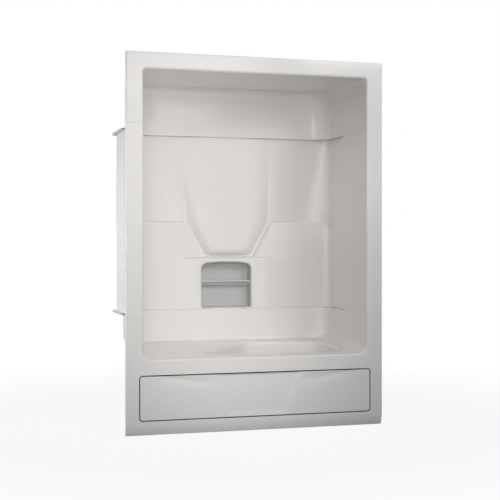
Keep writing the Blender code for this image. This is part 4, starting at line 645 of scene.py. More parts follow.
class End:
    """The open-fronted tray that the tub and the roof share, one the other way up. Its shape is given by
    name: up, joint, level, cove, back, corner, corner_growth, back_cove and outer_z."""

    def __init__(self, **shape):
        vars(self).update(shape)

    def u_row(self, half, depth, floor_z, cove, growth=0.0):
        """Half of a U: down the wall from the joint, round the cove and along the floor to the middle."""
        top = floor_z + self.up * cove
        points = [at(half - growth * s, depth, between(self.joint, top, s)) for s in END_WALL_SHARES]
        inner = half - growth - cove
        for sine, cosine in quarter(COVE_STEPS)[1:]:
            points.append(at(inner + cove * cosine, depth, top - self.up * cove * sine))
        return points + [at(inner * share, depth, floor_z) for share in FLOOR_SHARES[1:]]

    def outer_row(self, inset, depth, like):
        """The outer outline of the frame, point for point with a U row."""
        x_out = OUTER_HALF - inset
        z_out = self.outer_z + self.up * inset
        walls = len(END_WALL_SHARES)
        points = [at(x_out, depth, p.z) for p in like[:walls]]
        for share in shares(COVE_STEPS)[1:]:
            x = between(x_out, like[SIDE_POINTS - 1].x, clamp(2 * share - 1))
            points.append(at(x, depth, between(like[walls - 1].z, z_out, clamp(2 * share))))
        return points + [at(p.x, depth, z_out) for p in like[SIDE_POINTS:]]

    def edge_rows(self):
        """Rows round the edge of the opening, from the frame's face to its wall."""
        rows = []
        for depth, out in reversed(fillet(OPENING_ROUND, ROUND_STEPS)[1:]):
            floor_z = self.level(OPENING_ROUND) - self.up * out
            rows.append(self.u_row(OPENING_HALF + out, depth, floor_z, self.cove(0) + out))
        return rows

    def outline_rows(self, like):
        """Rows from the frame's return over its outer edge to its face."""
        spots = [(FLANGE_WIDTH, 0), *fillet(FRAME_EDGE_ROUND, ROUND_STEPS)]
        return [self.outer_row(inset, depth, like) for depth, inset in spots]

    def station_rows(self):
        """U rows from the edge of the opening back to the plane of the back wall."""
        across, along = self.corner
        start = self.back - along
        cove_start = self.back - self.back_cove
        depths = [between(OPENING_ROUND, start, share) for share in shares(STATIONS)]
        rows = [self.u_row(OPENING_HALF, depth, self.level(depth), self.cove(depth)) for depth in depths]
        for sine, cosine in quarter(CORNER_STEPS)[1:]:
            depth = start + along * sine
            in_cove = max(0.0, depth - cove_start)
            rise = self.back_cove - math.sqrt(max(0.0, self.back_cove**2 - in_cove**2))
            floor_z = self.level(min(depth, cove_start)) + self.up * rise
            half = OPENING_HALF - across * (1 - cosine)
            rows.append(self.u_row(half, depth, floor_z, self.cove(depth), self.corner_growth * (1 - cosine)))
        return rows

    def skin(self, bm, tip_back, *holes, floor_from=0):
        """The tray's skin and flange, with any holes in its front and its floor from a station on."""
        edge = self.edge_rows()
        stations = self.station_rows()
        outline = self.outline_rows(edge[0])
        back = [[Vector((p.x * s, p.y, p.z)) for s in FLOOR_SHARES] for p in stations[-1][:SIDE_POINTS]]
        skin(bm, [whole(row) for row in outline])
        skin(bm, [whole(row) for row in edge + stations[:1]])
        flat_face(bm, whole(outline[-1]) + whole(edge[0])[::-1], *holes)
        side_skins(bm, [row[:SIDE_POINTS] for row in stations])
        skin(bm, [whole(row[SIDE_POINTS - 1 :]) for row in stations[floor_from:]])
        skin(bm, [whole(row) for row in back])
        line = back[0][::-1] + [row[0] for rows in (stations[:-1], edge, outline) for row in reversed(rows)]
        self.flange(bm, line, tip_back)
        return stations

    def flange(self, bm, line, tip_back):
        """The flange behind the joint, out to the outline that it shares with the wall moulding's."""
        tip = tip_corner(line[: FLOOR_COLUMNS + 1], tip_back)
        for p in line[len(tip) : -FRAME_POINTS]:
            depth = p.y - FRONT
            x = between(FRONT_TIP, SIDE_TIP, smooth((depth - STEP_DEPTHS[0]) / FLANGE_WIDTH))
            tip.append(at(x, max(FLANGE_WIDTH, depth - FLANGE_WIDTH), self.joint))
        tip += [at(OUTER_HALF, FLANGE_WIDTH, self.joint)] * FRAME_POINTS
        skin(bm, [mirrored(line), mirrored(tip)])


def deck_height(depth):
    """The deck rises gently from the rim to the back wall, so that it drains into the basin."""
    return between(RIM_HEIGHT, DECK_BACK_HEIGHT, depth / BAND_DEPTH)


def oval(centre, half, way, slant):
    """The point that lies in a direction on an oval, squarer at its drain end. A slanting line, so far from
    the middle of the frame's front, cuts off its back left corner."""
    across, along = way
    squareness = DRAIN_END_SQUARENESS if across > 0 else BACKREST_SQUARENESS
    reach = (abs(across / half[0]) ** squareness + abs(along / half[1]) ** squareness) ** (1 / squareness)
    angle = math.radians(SLANT_FACING)
    off_slant = slant - centre[0] * math.cos(angle) - centre[1] * math.sin(angle)
    towards = max(0.0, across * math.cos(angle) + along * math.sin(angle)) / off_slant
    reach = (reach**SLANT_CORNER + towards**SLANT_CORNER) ** (1 / SLANT_CORNER)
    return centre[0] + across / reach, centre[1] + along / reach


def curve_through(points, count):
    """A smooth curve through points, as count steps."""

    def bent(a, b, c, d, t):
        square = 2 * a - 5 * b + 4 * c - d
        cube = 3 * b - 3 * c + d - a
        return 0.5 * (2 * b + (c - a) * t + square * t**2 + cube * t**3)

    last = len(points) - 1
    made = []
    for share in shares(count):
        here = min(last - 1, int(share * last))
        near = [points[min(last, max(0, here + offset))] for offset in (-1, 0, 1, 2)]
        made.append(tuple(bent(*values, share * last - here) for values in zip(*near)))
    return made


def basin_rings(perimeter):
    """Rings from the edge of the deck, over the basin's rounded edge and down to the drain hole."""
    ways = [(p.x - BASIN_CENTRE[0], p.y - FRONT - BASIN_CENTRE[1]) for p in perimeter]

    def level_ring(centre, half, slant, drop, down):
        """A ring so far below the deck, and from there a share of the way down to the floor."""
        spots = [oval(centre, half, way, slant) for way in ways]
        return [at(x, y, between(deck_height(y) - drop, BASIN_FLOOR_HEIGHT, down)) for x, y in spots]

    rings = [perimeter]
    for out, drop in fillet(BASIN_EDGE_ROUND, BASIN_EDGE_STEPS):
        half = (BASIN_HALF[0] + out, BASIN_HALF[1] + out)
        rings.append(level_ring(BASIN_CENTRE, half, SLANT_OFFSETS[0] + out, drop, 0))
    for inward, down in curve_through(BASIN_WALL_SHARES, BASIN_WALL_ROWS)[1:]:
        centre = pair_between(BASIN_CENTRE, BASIN_FLOOR_CENTRE, inward)
        half = pair_between(BASIN_HALF, BASIN_FLOOR_HALF, inward)
        rings.append(level_ring(centre, half, between(*SLANT_OFFSETS, inward), BASIN_EDGE_ROUND, down))
    floor = rings[-1]
    drain = at(DRAIN_X, BASIN_FLOOR_CENTRE[1], 0)

    def circle(radius, z):
        """A ring round the drain, whose points lie towards the floor's edge."""
        ways = [Vector((p.x - drain.x, p.y - drain.y, 0)).normalized() for p in floor]
        return [Vector((drain.x, drain.y, z)) + way * radius for way in ways]

    near = circle(DRAIN_SEAT_RADIUS + SHELL, BASIN_FLOOR_HEIGHT - BASIN_FLOOR_FALL)
    for share in FLOOR_RING_SHARES:
        rings.append([between(a, b, share) for a, b in zip(floor, near)])
    seat = [near, circle(DRAIN_SEAT_RADIUS, DRAIN_SEAT_HEIGHT), circle(DRAIN_HOLE_RADIUS, DRAIN_SEAT_HEIGHT)]
    return rings + rounded_rows(seat, [0, SHELL / 2, 0])


def tuck_foot(bm):
    """The skirt curves back below its access opening, down to the floor."""
    for share in shares(FOOT_ROWS)[1:]:
        height = FOOT_HEIGHT * share
        parts = bm.verts[:] + bm.edges[:] + bm.faces[:]
        bmesh.ops.bisect_plane(bm, geom=parts, dist=WELD, plane_co=(0, 0, height), plane_no=(0, 0, 1))
    for vert in bm.verts:
        before_return = 1 - (vert.co.y - FRONT) / FLANGE_WIDTH
        if vert.co.z < FOOT_HEIGHT and before_return > 0:
            vert.co.y += FOOT_TUCK * (1 - vert.co.z / FOOT_HEIGHT) ** 2 * before_return


def tub_moulding(finishes):
    """Basin, deck, rim, lower walls and jambs and the skirt with its access opening."""
    end = End(
        up=1,
        joint=LOWER_JOINT[0],
        level=deck_height,
        cove=lambda depth: TUB_COVE,
        back=BAND_DEPTH,
        corner=BAND_CORNER,
        corner_growth=0.0,
        back_cove=DECK_BACK_COVE,
        outer_z=0.0,
    )
    bm = bmesh.new()
    lip_round = fillet(OPENING_LIP_ROUND, LIP_STEPS)
    lip = [ring(access_outline(LIP_RELIEF + grow), depth) for grow, depth in lip_round]
    lip.append(ring(access_outline(LIP_RELIEF), SHELL))
    stations = end.skin(bm, PANEL_DEPTH, lip[0], floor_from=STATIONS)
    skin(bm, lip, closed=True)
    foot = SIDE_POINTS - 1
    front = whole(stations[0][foot:])
    back = whole(stations[STATIONS][foot:])
    right = [row[foot] for row in stations[1:STATIONS]]
    skin(bm, basin_rings(front[::-1] + right + back + flipped(right[::-1])), closed=True)
    tuck_foot(bm)
    obj = moulding("tub_moulding", bm, UNIT_HEIGHT, "unit", finishes)
    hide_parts("tub")
    return obj


def roof_moulding(finishes):
    """Upper walls, ceiling, header and upper jambs."""
    end = End(
        up=-1,
        joint=UPPER_JOINT[1],
        level=lambda depth: CEILING_HEIGHT,
        cove=lambda depth: ROOF_CEILING_COVE + ROOF_COVE_GROWTH * smooth(depth / ROOF_BACK_DEPTH),
        back=ROOF_BACK_DEPTH,
        corner=ROOF_CORNER,
        corner_growth=ROOF_CORNER_GROWTH,
        back_cove=ROOF_BACK_COVE,
        outer_z=UNIT_HEIGHT,
    )
    bm = bmesh.new()
    end.skin(bm, POCKET_TOP_DEPTH)
    obj = moulding("roof_moulding", bm, sum(UPPER_JOINT) / 2, "unit", finishes)
    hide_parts("roof_cap")


def sealant(name, joint, sections, finishes):
    """The bead of sealant that nearly fills a joint, along the deeper of the two walls that meet there."""
    line = [max(pair, key=lambda p: (p.x**4 + (p.y - FRONT) ** 4)) for pair in zip(*sections)]
    around = [line[0] * 2 - line[1], *line, line[-1] * 2 - line[-2]]
    ways = [after - before for before, after in zip(around, around[2:])]
    outwards = [Vector((-way.y, way.x, 0)).normalized() for way in ways]
    outwards[0] = Vector((0, 1, 0))
    low = joint[0] + SEAL_CLEARANCE
    high = joint[1] - SEAL_CLEARANCE
    strands = []
    for inset, z in ((SEAL_INSET, low), (SEAL_INSET, high), (SEAL_WIDTH, high), (SEAL_WIDTH, low)):
        half = [Vector((p.x + way.x * inset, p.y + way.y * inset, z)) for p, way in zip(line, outwards)]
        strands.append(mirrored(half))
    piece(name, bar(list(zip(*strands))), "unit", finishes)


def joint_sealants(finishes):
    """The beads in the two joints, each between the sections of the mouldings that meet there."""
    low = flat_level(sum(LOWER_JOINT) / 2)
    high = flat_level(sum(UPPER_JOINT) / 2)
    panel = half_section(block_depth, PANEL_CORNER, low)
    band = half_section(flat_back(BAND_DEPTH), BAND_CORNER, low)
    roof_edge = half_section(flat_back(ROOF_BACK_DEPTH), ROOF_CORNER, high)
    sealant("lower_sealant", LOWER_JOINT, (panel, band), finishes)
    sealant("upper_sealant", UPPER_JOINT, (pocket_row(high), roof_edge), finishes)


# Access panel


def relief(x, z):
    """Depth of the sunk centre field and of the creases that sweep out to the panel's upper corners."""
    top = ACCESS_HEIGHTS[1] - PANEL_GAP
    share = (z - RELIEF_FOOT_HEIGHT) / (top - RELIEF_FOOT_HEIGHT)
    foot = between(*RELIEF_HALVES, clamp(share))
    across = ramp((foot + RELIEF_SLOPE - abs(x)) / RELIEF_SLOPE, RELIEF_BEND)
    rise = ramp((z - RELIEF_FOOT_HEIGHT + RELIEF_SLOPE) / RELIEF_SLOPE, RELIEF_BEND)
    field = RELIEF_DEPTH * min(across, rise)
    along = (abs(x) - SWOOSH_INNER[0]) / (SWOOSH_OUTER[0] - SWOOSH_INNER[0])
    line = between(SWOOSH_INNER[1], SWOOSH_OUTER[1], smooth(along))
    fold = max(0.0, min((top - z) / (top - line), 1 - (line - z) / SWOOSH_FADE))
    crease = smooth(fold) * ramp(along * SWOOSH_RISE + 0.5, SWOOSH_BEND)
    crease *= 1 - smooth(SWOOSH_FALL * along - (SWOOSH_FALL - 1))
    return max(field, SWOOSH_DEPTH * crease)


def grid_line(low, high, steps):
    """Places from one edge of the access panel to the other, closer together at both."""
    insets = [PANEL_EDGE_ROUND * share for share in PANEL_EDGE_SHARES]
    inner = [between(low, high, share) for share in shares(steps)[1:-1]]
    return [low + inset for inset in insets] + inner + [high - inset for inset in reversed(insets)]


def pull_off_panel(finishes):
    """The access panel, with rounded edges and its sunk field."""
    gap = PANEL_GAP + LIP_RELIEF
    half = ACCESS_HALF - gap
    low = ACCESS_HEIGHTS[0] + gap
    high = ACCESS_HEIGHTS[1] - gap
    corner = ACCESS_ROUND - gap

    def placed(x, z):
        """A point of the sheet, brought in to the round corners and turned back at the edge."""
        centre = Vector((math.copysign(half - corner, x), min(max(z, low + corner), high - corner)))
        away = Vector((x, z)) - centre
        inside = min(half - abs(x), z - low, high - z)
        if abs(x) > half - corner and (z < low + corner or z > high - corner):
            inside = corner - away.length
            if inside < 0:
                x, z = centre + away.normalized() * corner
        into = max(0.0, PANEL_EDGE_ROUND - max(0.0, inside))
        turned = PANEL_EDGE_ROUND - math.sqrt(PANEL_EDGE_ROUND**2 - into**2)
        return at(x, relief(x, z) * smooth(inside / PANEL_EDGE_FADE) + turned, z)

    bm = bmesh.new()
    xs = grid_line(-half, half, PANEL_COLUMNS)
    skin(bm, [[placed(x, z) for x in xs] for z in grid_line(low, high, PANEL_ROWS)])
    bmesh.ops.remove_doubles(bm, verts=bm.verts, dist=WELD)
    border = [edge for edge in bm.edges if edge.is_boundary]
    for made in bmesh.ops.extrude_edge_only(bm, edges=border)["geom"]:
        if isinstance(made, bmesh.types.BMVert):
            made.co.y = FRONT + SHELL
    obj = moulding("pull_off_panel", bm, high, "panel", finishes, SHELL / 2)
    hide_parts("access_panel")


def splash_strip(finishes):
    """A dark strip behind the skirt, put there as painted shade: it closes the view over the access panel's
    top.
    """
    top = ACCESS_HEIGHTS[1] + STRIP_RISE
    outline = [
        (SHELL + FIT, top),
        (SHELL + FIT, top + STRIP_WALL),
        (STRIP_DEPTH + STRIP_WALL, top + STRIP_WALL),
        (STRIP_DEPTH + STRIP_WALL, top - STRIP_DROP),
        (STRIP_DEPTH, top - STRIP_DROP),
        (STRIP_DEPTH, top),
    ]
    piece("splash_strip", level_bar(outline, ACCESS_HALF - ACCESS_ROUND), "unit", finishes)


def level_bar(section, half):
    """A bar across the unit, with a section of (depth, z) points."""
    return bar([[at(x, depth, z) for depth, z in section] for x in (-half, 0, half)])


# Niche


def niche_lining(finishes):
    """The grey lining of the niche, with its soap shelf and the two bosses of the bar."""
    bm = bmesh.new()
    front = BLOCK_DEPTH + MOUTH_ROUND + WELD
    back = NICHE_DEPTH - LINING_WALL
    inset = -FIT - LINING_WALL
    inside = [ring(niche_outline(-FIT), front), ring(niche_outline(inset), front)]
    for forward, inward in fillet(LINING_FILLET, ROUND_STEPS):
        inside.append(ring(niche_outline(inset - inward, *LINING_LEAST_ROUNDS), back - forward))
    outside = [
        ring(niche_outline(-FIT), front),
        ring(niche_outline(-FIT), NICHE_DEPTH - LINING_FILLET / 2),
        ring(niche_outline(-FIT - LINING_FILLET / 2), NICHE_DEPTH),
    ]
    for rings in (inside, outside):
        skin(bm, rings, closed=True)
        cap(bm, rings[-1])
    weld(bm)
    join(bm, soap_shelf())
    for side in (-1, 1):
        wall = side * (NICHE_HALF - FIT - LINING_WALL / 2)
        end = at(wall - side * BOSS_LENGTH, BAR_DEPTH, BAR_HEIGHT)
        join(bm, rod(at(wall, BAR_DEPTH, BAR_HEIGHT), end, BOSS_RADIUS))
    obj = piece("niche_lining", bm, "unit", finishes)
    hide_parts("soap_niche_insert")


def soap_shelf():
    """The soap shelf across the back of the lining, with a soft front edge and a raised lip."""
    low, high = SOAP_SHELF
    back = NICHE_DEPTH - LINING_WALL / 2
    section = [(back, high)]
    for heights, level in ((SOAP_LIP_TOP, high), (SOAP_LIP_FOOT, low)):
        section += [(SOAP_SHELF_FRONT + inward * SOAP_LIP, level + up * SOAP_LIP) for inward, up in heights]
    section.append((back, low))
    return level_bar(section, NICHE_HALF - FIT - LINING_WALL / 2)


def join(bm, other):
    """Adds another mesh in the making to this one."""
    mesh = bpy.data.meshes.new("joined")
    other.to_mesh(mesh)
    other.free()
    bm.from_mesh(mesh)
    bpy.data.meshes.remove(mesh)


def rod(start, end, radius):
    axis = end - start
    place = Matrix.Translation((start + end) / 2) @ axis.to_track_quat("Z", "Y").to_matrix().to_4x4()
    bm = bmesh.new()
    ends = {"radius1": radius, "radius2": radius, "depth": axis.length}
    bmesh.ops.create_cone(bm, cap_ends=True, segments=ROD_SIDES, matrix=place, **ends)
    weld(bm)
    return bm


def washcloth_bar(finishes):
    low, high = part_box("washcloth_bar")
    bm = rod(at(low[0], BAR_DEPTH, BAR_HEIGHT), at(high[0], BAR_DEPTH, BAR_HEIGHT), BAR_RADIUS)
    obj = piece("round_washcloth_bar", bm, "unit", finishes)
    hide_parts("washcloth_bar")


# Finishes


def by(operation, turned=False):
    """The method of one kind of sum. A turned one stands behind the other value."""

    def method(self, other):
        first, second = (other, self) if turned else (self, other)
        return self.bench.node("ShaderNodeMath", {0: first, 1: second}, operation=operation)

    return method


class Reading:
    """A shader value that plain sums can be done with. over gives 1 where it is the greater one, else 0."""

    def __init__(self, bench, socket):
        self.bench = bench
        self.socket = socket

    __add__ = __radd__ = by("ADD")
    __mul__ = __rmul__ = by("MULTIPLY")
    __sub__ = by("SUBTRACT")
    __rsub__ = by("SUBTRACT", turned=True)
    __truediv__ = by("DIVIDE")
    __pow__ = by("POWER")
    over = by("GREATER_THAN")

    def clamped(self):
        return self.bench.node("ShaderNodeClamp", {0: self})


class Bench:
    """A finish in the making, as a new material or on the world that it is handed."""

    def __init__(self, name, world=None):
        self.material = world or bpy.data.materials.new(name)
        self.material.use_nodes = True
        self.tree = self.material.node_tree
        self.tree.nodes.clear()

    def node(self, kind, sockets, out=0, **settings):
        """A node of a kind. Its settings are set first and then the values or links of its sockets."""
        made = self.tree.nodes.new(kind)
        for name, value in settings.items():
            setattr(made, name, value)
        for key, value in sockets.items():
            if isinstance(value, Reading):
                self.tree.links.new(value.socket, made.inputs[key])
            else:
                made.inputs[key].default_value = value
        return Reading(self, made.outputs[out]) if made.outputs else None

    def place(self, scale=(1, 1, 1)):
        """Where on the piece, in metres, stretched by a scale."""
        spot = self.node("ShaderNodeTexCoord", {}, "Object")
        return self.node("ShaderNodeMapping", {"Vector": spot, "Scale": scale})

    def noise(self, scale, detail=2.0, place=None, roughness=0.5):
        sockets = {"Vector": place or self.place(), "Scale": scale, "Detail": detail, "Roughness": roughness}
        return self.node("ShaderNodeTexNoise", sockets)

    def finish(self, share, colours, roughness, grain, **more):
        """The finished material: two colours mixed by a share, and a grain of height, strength and depth."""
        first, second = colours
        blend = {0: share, 6: (*first, 1), 7: (*second, 1)}
        colour = self.node("ShaderNodeMix", blend, 2, data_type="RGBA")
        normal = self.node("ShaderNodeBump", dict(zip(("Height", "Strength", "Distance"), grain)))
        sockets = {"Base Color": colour, "Roughness": roughness, "Normal": normal, **more}
        shader = self.node("ShaderNodeBsdfPrincipled", sockets)
        self.node("ShaderNodeOutputMaterial", {"Surface": shader})
        return self.material


def acrylic(bench):
    """Glossy white sheet, drawn over a mould: faint warm clouds and the slow ripple of a formed sheet."""
    colours = (0.80, 0.785, 0.775), (0.835, 0.825, 0.815)
    worn = 0.15 + 0.10 * bench.noise(35, 4)
    ripple = bench.noise(9), 0.10, 0.004
    coat = {"Coat Weight": 0.35, "Coat Roughness": 0.06}
    return bench.finish(bench.noise(1.6, 3), colours, worn, ripple, **coat)


def glass_fibre_backing(bench):
    """The sprayed backing: chopped strands in resin, pale and rough."""
    stretched = {"Vector": bench.place((1, 1, 0.25)), "Scale": 120}
    strands = bench.node("ShaderNodeTexVoronoi", stretched, distance="CHEBYCHEV")
    patches = bench.noise(14, 5)
    share = (0.6 * patches + 0.6 * strands).clamped()
    colours = (0.74, 0.735, 0.72), (0.84, 0.835, 0.82)
    rough = strands + 0.6 * bench.noise(160, 4), 0.6, 0.001
    return bench.finish(share, colours, 0.50 + 0.25 * patches, rough)


def grey_insert(bench):
    """Grey moulded plastic of the niche, with a fine even speckle and a satin grain."""
    speckle = bench.noise(420, 3, roughness=0.7)
    tone = bench.noise(5)
    share = (0.55 * tone + 0.9 * speckle - 0.2).clamped()
    colours = (0.46, 0.465, 0.46), (0.60, 0.61, 0.605)
    return bench.finish(share, colours, 0.28 + 0.18 * tone, (speckle, 0.15, 0.0004))


def white_plastic(bench):
    """Waste fittings: pale moulded plastic with fine flow marks."""
    flow = bench.noise(30, 3, bench.place((1, 1, 4)))
    colours = (0.72, 0.72, 0.69), (0.82, 0.82, 0.80)
    return bench.finish(flow, colours, 0.36 + 0.15 * flow, (bench.noise(300), 0.08, 0.0005))


def white_seal(bench):
    """The cured sealant and the seals in the joints, slightly clouded."""
    tone = bench.noise(60, 3)
    colours = (0.70, 0.69, 0.67), (0.80, 0.79, 0.775)
    return bench.finish(tone, colours, 0.5 + 0.15 * tone, (bench.noise(700), 0.2, 0.0003))


def painted_shade_landing(bench):
    """Painted shade: a near-black finish on the access panel's landing frame, so that the groove round the
    panel shows dark.
    """
    shade_mottle = bench.noise(650, 4)
    colours = (0.07, 0.07, 0.072), (0.15, 0.15, 0.152)
    return bench.finish(shade_mottle, colours, 0.7 + 0.2 * shade_mottle, (shade_mottle, 0.4, 0.0004))


def black_rubber(bench):
    """Black rubber with a film of dust. The strip of painted shade behind the skirt wears it too."""
    dust = bench.noise(90, 4)
    colours = (0.018, 0.018, 0.019), (0.055, 0.055, 0.056)
    return bench.finish(dust, colours, 0.55 + 0.25 * dust, (bench.noise(900, 3), 0.3, 0.0002))


def plated_steel(bench):
    """Zinc plated steel of the bolts and nuts, with its cloudy bloom."""
    bloom = bench.noise(220, 4)
    colours = (0.50, 0.50, 0.49), (0.66, 0.66, 0.64)
    return bench.finish(bloom, colours, 0.28 + 0.25 * bloom, (bloom, 0.15, 0.0003), Metallic=1.0)


def chrome(bench):
    """Bright plate with faint water marks."""
    marks = bench.noise(55, 4)
    colours = (0.74, 0.75, 0.76), (0.82, 0.82, 0.83)
    ripple = bench.noise(12, 1), 0.05, 0.001
    return bench.finish(marks, colours, 0.06 + 0.12 * marks * marks, ripple, Metallic=1.0)


def plywood(bench):
    """Sanded plywood: long grain, paler early wood and ply lines on the cut edges."""
    spread = bench.noise(3, 3, bench.place((1, 6, 6)))
    grain = bench.noise(26, 5, bench.place((0.4, 14, 30)), 0.65)
    share = (0.7 * grain + 0.5 * spread - 0.1).clamped()
    colours = (0.36, 0.23, 0.12), (0.62, 0.46, 0.28)
    return bench.finish(share, colours, 0.6 + 0.25 * grain, (grain, 0.35, 0.0008))


# Slip-resistant studs


class Pattern(Bench):
    """A tree of geometry nodes in the making, with its sizes as named inputs."""

    def __init__(self, name, sizes):
        self.tree = bpy.data.node_groups.new(name, "GeometryNodeTree")
        self.sizes = sizes
        sockets = self.tree.interface
        sockets.new_socket("Geometry", in_out="OUTPUT", socket_type="NodeSocketGeometry")
        self.keys = {}
        for size in sizes:
            socket = sockets.new_socket(size, in_out="INPUT", socket_type="NodeSocketFloat")
            self.keys[size] = socket.identifier
        self.given = self.tree.nodes.new("NodeGroupInput")

    def size(self, name):
        return Reading(self, self.given.outputs[name])

    def axis(self, spot, name):
        return self.node("ShaderNodeSeparateXYZ", {0: spot}, name)

    def baked(self, geometry, finish):
        """The plain mesh of what the tree makes."""
        real = self.node("GeometryNodeRealizeInstances", {"Geometry": geometry})
        dressed = self.node("GeometryNodeSetMaterial", {"Geometry": real, "Material": finish})
        self.node("NodeGroupOutput", {0: dressed})
        holder = linked("holder", bpy.data.meshes.new("holder"))
        modifier = holder.modifiers.new("pattern", "NODES")
        modifier.node_group = self.tree
        for size, value in self.sizes.items():
            modifier[self.keys[size]] = value
        graph = bpy.context.evaluated_depsgraph_get()
        mesh = bpy.data.meshes.new_from_object(holder.evaluated_get(graph), depsgraph=graph)
        holder.modifiers.clear()
        bpy.data.objects.remove(holder)
        return mesh


def basin_studs(tub, finishes):
    """Low domes in rows, dropped onto the level part of the basin floor, clear of the drain."""
    pattern = Pattern("basin_studs", STUD_SIZES)
    long, wide, pitch = (pattern.size(name) for name in ("Floor Length", "Floor Width", "Pitch"))
    counts = {"Size X": long, "Size Y": wide, "Vertices X": long / pitch + 1, "Vertices Y": wide / pitch + 1}
    grid = pattern.node("GeometryNodeMeshGrid", counts)
    spot = pattern.node("GeometryNodeInputPosition", {})
    x = pattern.axis(spot, "X")
    y = pattern.axis(spot, "Y")
    across = 2 * x / long
    along = 2 * y / wide
    drain = x - (DRAIN_X - BASIN_FLOOR_CENTRE[0])
    outside = (across * across * across * across + along * along).over(1.0)
    by_drain = (pattern.size("Drain Clearance") - (drain * drain + y * y) ** 0.5).over(0.0)
    kept = pattern.node("GeometryNodeDeleteGeometry", {"Geometry": grid, "Selection": outside + by_drain})
    above = at(*BASIN_FLOOR_CENTRE, STUD_SIZES["Drop"])
    raised = pattern.node("GeometryNodeTransform", {"Geometry": kept, "Translation": above})
    sheet = pattern.node("GeometryNodeObjectInfo", {"Object": tub}, "Geometry")
    fall = {"Target Geometry": sheet, "Ray Direction": (0, 0, -1), "Ray Length": pattern.size("Drop")}
    landed = pattern.node("GeometryNodeRaycast", fall, "Hit Position")
    level = pattern.axis(landed, "Z")
    missed = (BASIN_FLOOR_HEIGHT / 2 - level).over(0.0)
    off_floor = missed + level.over(BASIN_FLOOR_HEIGHT + STUD_SIZES["Stud Height"])
    on_floor = pattern.node("GeometryNodeDeleteGeometry", {"Geometry": raised, "Selection": off_floor})
    laid = pattern.node("GeometryNodeSetPosition", {"Geometry": on_floor, "Position": landed})
    dome = pattern.node("GeometryNodeMeshUVSphere", STUD_DOME)
    radius = pattern.size("Stud Radius")
    size = {"X": radius, "Y": radius, "Z": pattern.size("Stud Height")}
    shape = pattern.node("ShaderNodeCombineXYZ", size)
    studs = {"Points": laid, "Instance": dome, "Scale": shape}
    bm = bmesh.new()
    bm.from_mesh(pattern.baked(pattern.node("GeometryNodeInstanceOnPoints", studs), finishes[0]))
    piece("basin_studs", bm, "unit", finishes)


# Room

ROOM_LIGHT = 0.33
FLOOR_REACH = 40
SHADOW_REACH = 1.6
SHADOW_SHARE = 0.08
FLOOR_GREY = (0.40, 0.40, 0.40, 1)
WHITE = (1, 1, 1, 1)
WARM = (1.0, 0.985, 0.97)

# Lamps: name, place, target, size, power, the angle of the light and whether it is seen in the gloss
LAMPS = (
    ("key", (-1.2, -3.6, 1.5), (-0.5, 0.0, 1.2), (1.0, 1.0), 4.4, 60, False),
    ("corner_glint", (-1.2, -3.6, 1.55), (0.66, 0.3, 1.38), (0.5, 0.45), 0.13, 12, True),
    ("top", (2.08, -3.64, 3.2), (0.76, -0.3, 1.72), (1.3, 1.0), 2.8, 42, True),
    ("over", (0.0, -2.6, 2.6), (0.0, 0.0, 1.15), (1.4, 0.9), 3.7, 96, True),
    ("low", (-0.6, -2.8, 0.9), (-0.15, -0.4, 0.5), (0.8, 0.5), 0.98, 40, False),
    ("up", (-0.5, -2.6, 0.7), (-0.42, 0.1, 2.02), (0.8, 0.6), 1.05, 46, False),
    ("left", (-3.0, 0.6, 1.2), (-0.76, 0.1, 1.1), (1.0, 1.6), 6.0, 60, True),
)

# The camera, which sees the frame's corners where the photo shows them
SENSOR_WIDTH = 36.0
LENS = 78.48
LENS_SHIFT = -0.0113
CAMERA_PLACE = (-1.7905, -6.3613, 1.0616)
CAMERA_TURN = -0.2843


def shown_white(bench):
    """1 for the rays that show the background, seen directly, in a gloss or through clear plastic."""
    shown = 0.0
    for way in ("Is Camera Ray", "Is Glossy Ray", "Is Transmission Ray"):
        shown = bench.node("ShaderNodeLightPath", {}, way) + shown
    return shown.clamped()


def studio():
    """A white floor that keeps the shadow near the unit, and a white room."""
    mesh = bpy.data.meshes.new("floor")
    bm = bmesh.new()
    bmesh.ops.create_grid(bm, x_segments=1, y_segments=1, size=FLOOR_REACH)
    bm.to_mesh(mesh)
    bm.free()
    floor = linked("floor", mesh)
    bench = Bench("floor")
    mesh.materials.append(bench.material)
    away = bench.node("ShaderNodeVectorMath", {0: bench.place()}, "Value", operation="LENGTH")
    near = 1 - ((away - SHADOW_REACH) / SHADOW_REACH).clamped()
    matte = bench.node("ShaderNodeBsdfDiffuse", {"Color": FLOOR_GREY})
    glow = bench.node("ShaderNodeEmission", {"Color": WHITE, "Strength": 1.0})
    share = shown_white(bench) * (1 - SHADOW_SHARE * near)
    both = bench.node("ShaderNodeMixShader", {0: share, 1: matte, 2: glow})
    bench.node("ShaderNodeOutputMaterial", {"Surface": both})

    world = bpy.data.worlds.new("room")
    bpy.context.scene.world = world
    bench = Bench("room", world)
    strength = ROOM_LIGHT + (1 - ROOM_LIGHT) * shown_white(bench)
    light = bench.node("ShaderNodeBackground", {"Color": WHITE, "Strength": strength})
    bench.node("ShaderNodeOutputWorld", {"Surface": light})


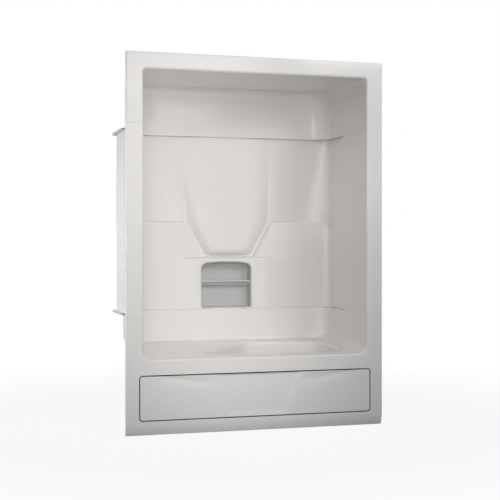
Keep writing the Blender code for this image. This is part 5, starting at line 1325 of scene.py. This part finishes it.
def lamp(name, place, target, size, power, spread, in_gloss):
    """A soft lamp that faces a target, with its light kept within an angle and seen in the gloss or not."""
    light = bpy.data.lights.new(name, "AREA")
    light.shape = "RECTANGLE"
    light.size, light.size_y = size
    light.energy = power
    light.color = WARM
    light.spread = math.radians(spread)
    obj = linked(name, light)
    obj.location = place
    obj.rotation_euler = (Vector(target) - Vector(place)).to_track_quat("-Z", "Y").to_euler()
    obj.visible_glossy = in_gloss


def camera():
    """The photograph's view: level, from the left of the opening."""
    data = bpy.data.cameras.new("camera")
    data.sensor_width = SENSOR_WIDTH
    data.lens = LENS
    data.shift_y = LENS_SHIFT
    obj = linked("camera", data)
    obj.location = CAMERA_PLACE
    obj.rotation_euler = (QUARTER_TURN, 0, CAMERA_TURN)
    bpy.context.scene.camera = obj


# The finish of a CAD node, by the first of these words that its name holds
NODE_FINISHES = (
    (white_seal, ("joint_seal",)),
    (plated_steel, ("joint_bolt",)),
    (black_rubber, ("niche_seal", "grommet", "gasket", "stopper_seal")),
    (painted_shade_landing, ("panel_landing_frame",)),
    # The landing frame's finish is painted shade, standing for the dark of the groove round the access panel.
    (white_plastic, ("drain_shoe",)),
    (chrome, ("drain", "stopper", "overflow_plate", "overflow_screw")),
    (plywood, ("runner", "board")),
    (white_plastic, ("",)),
)


def dress_nodes(made):
    """The CAD nodes that stay as they are get their finish."""
    for name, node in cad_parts.items():
        finish = next(made[make] for make, words in NODE_FINISHES if any(word in name for word in words))
        for slot in node.material_slots:
            slot.material = finish


def main():
    makers = (acrylic, glass_fibre_backing, grey_insert, *(make for make, words in NODE_FINISHES))
    made = {make: make(Bench(make.__name__)) for make in dict.fromkeys(makers)}
    dress_nodes(made)
    sheet = [made[acrylic], made[glass_fibre_backing]]
    basin_studs(tub_moulding(sheet), sheet[:1])
    wall_moulding(sheet)
    roof_moulding(sheet)
    pull_off_panel(sheet)
    # The strip of painted shade behind the skirt, in the black rubber finish.
    splash_strip([made[black_rubber]])
    joint_sealants([made[white_seal]])
    niche_lining([made[grey_insert]])
    washcloth_bar([made[grey_insert]])
    camera()
    studio()
    for values in LAMPS:
        lamp(*values)
    bpy.context.scene.view_settings.view_transform = "Standard"


main()
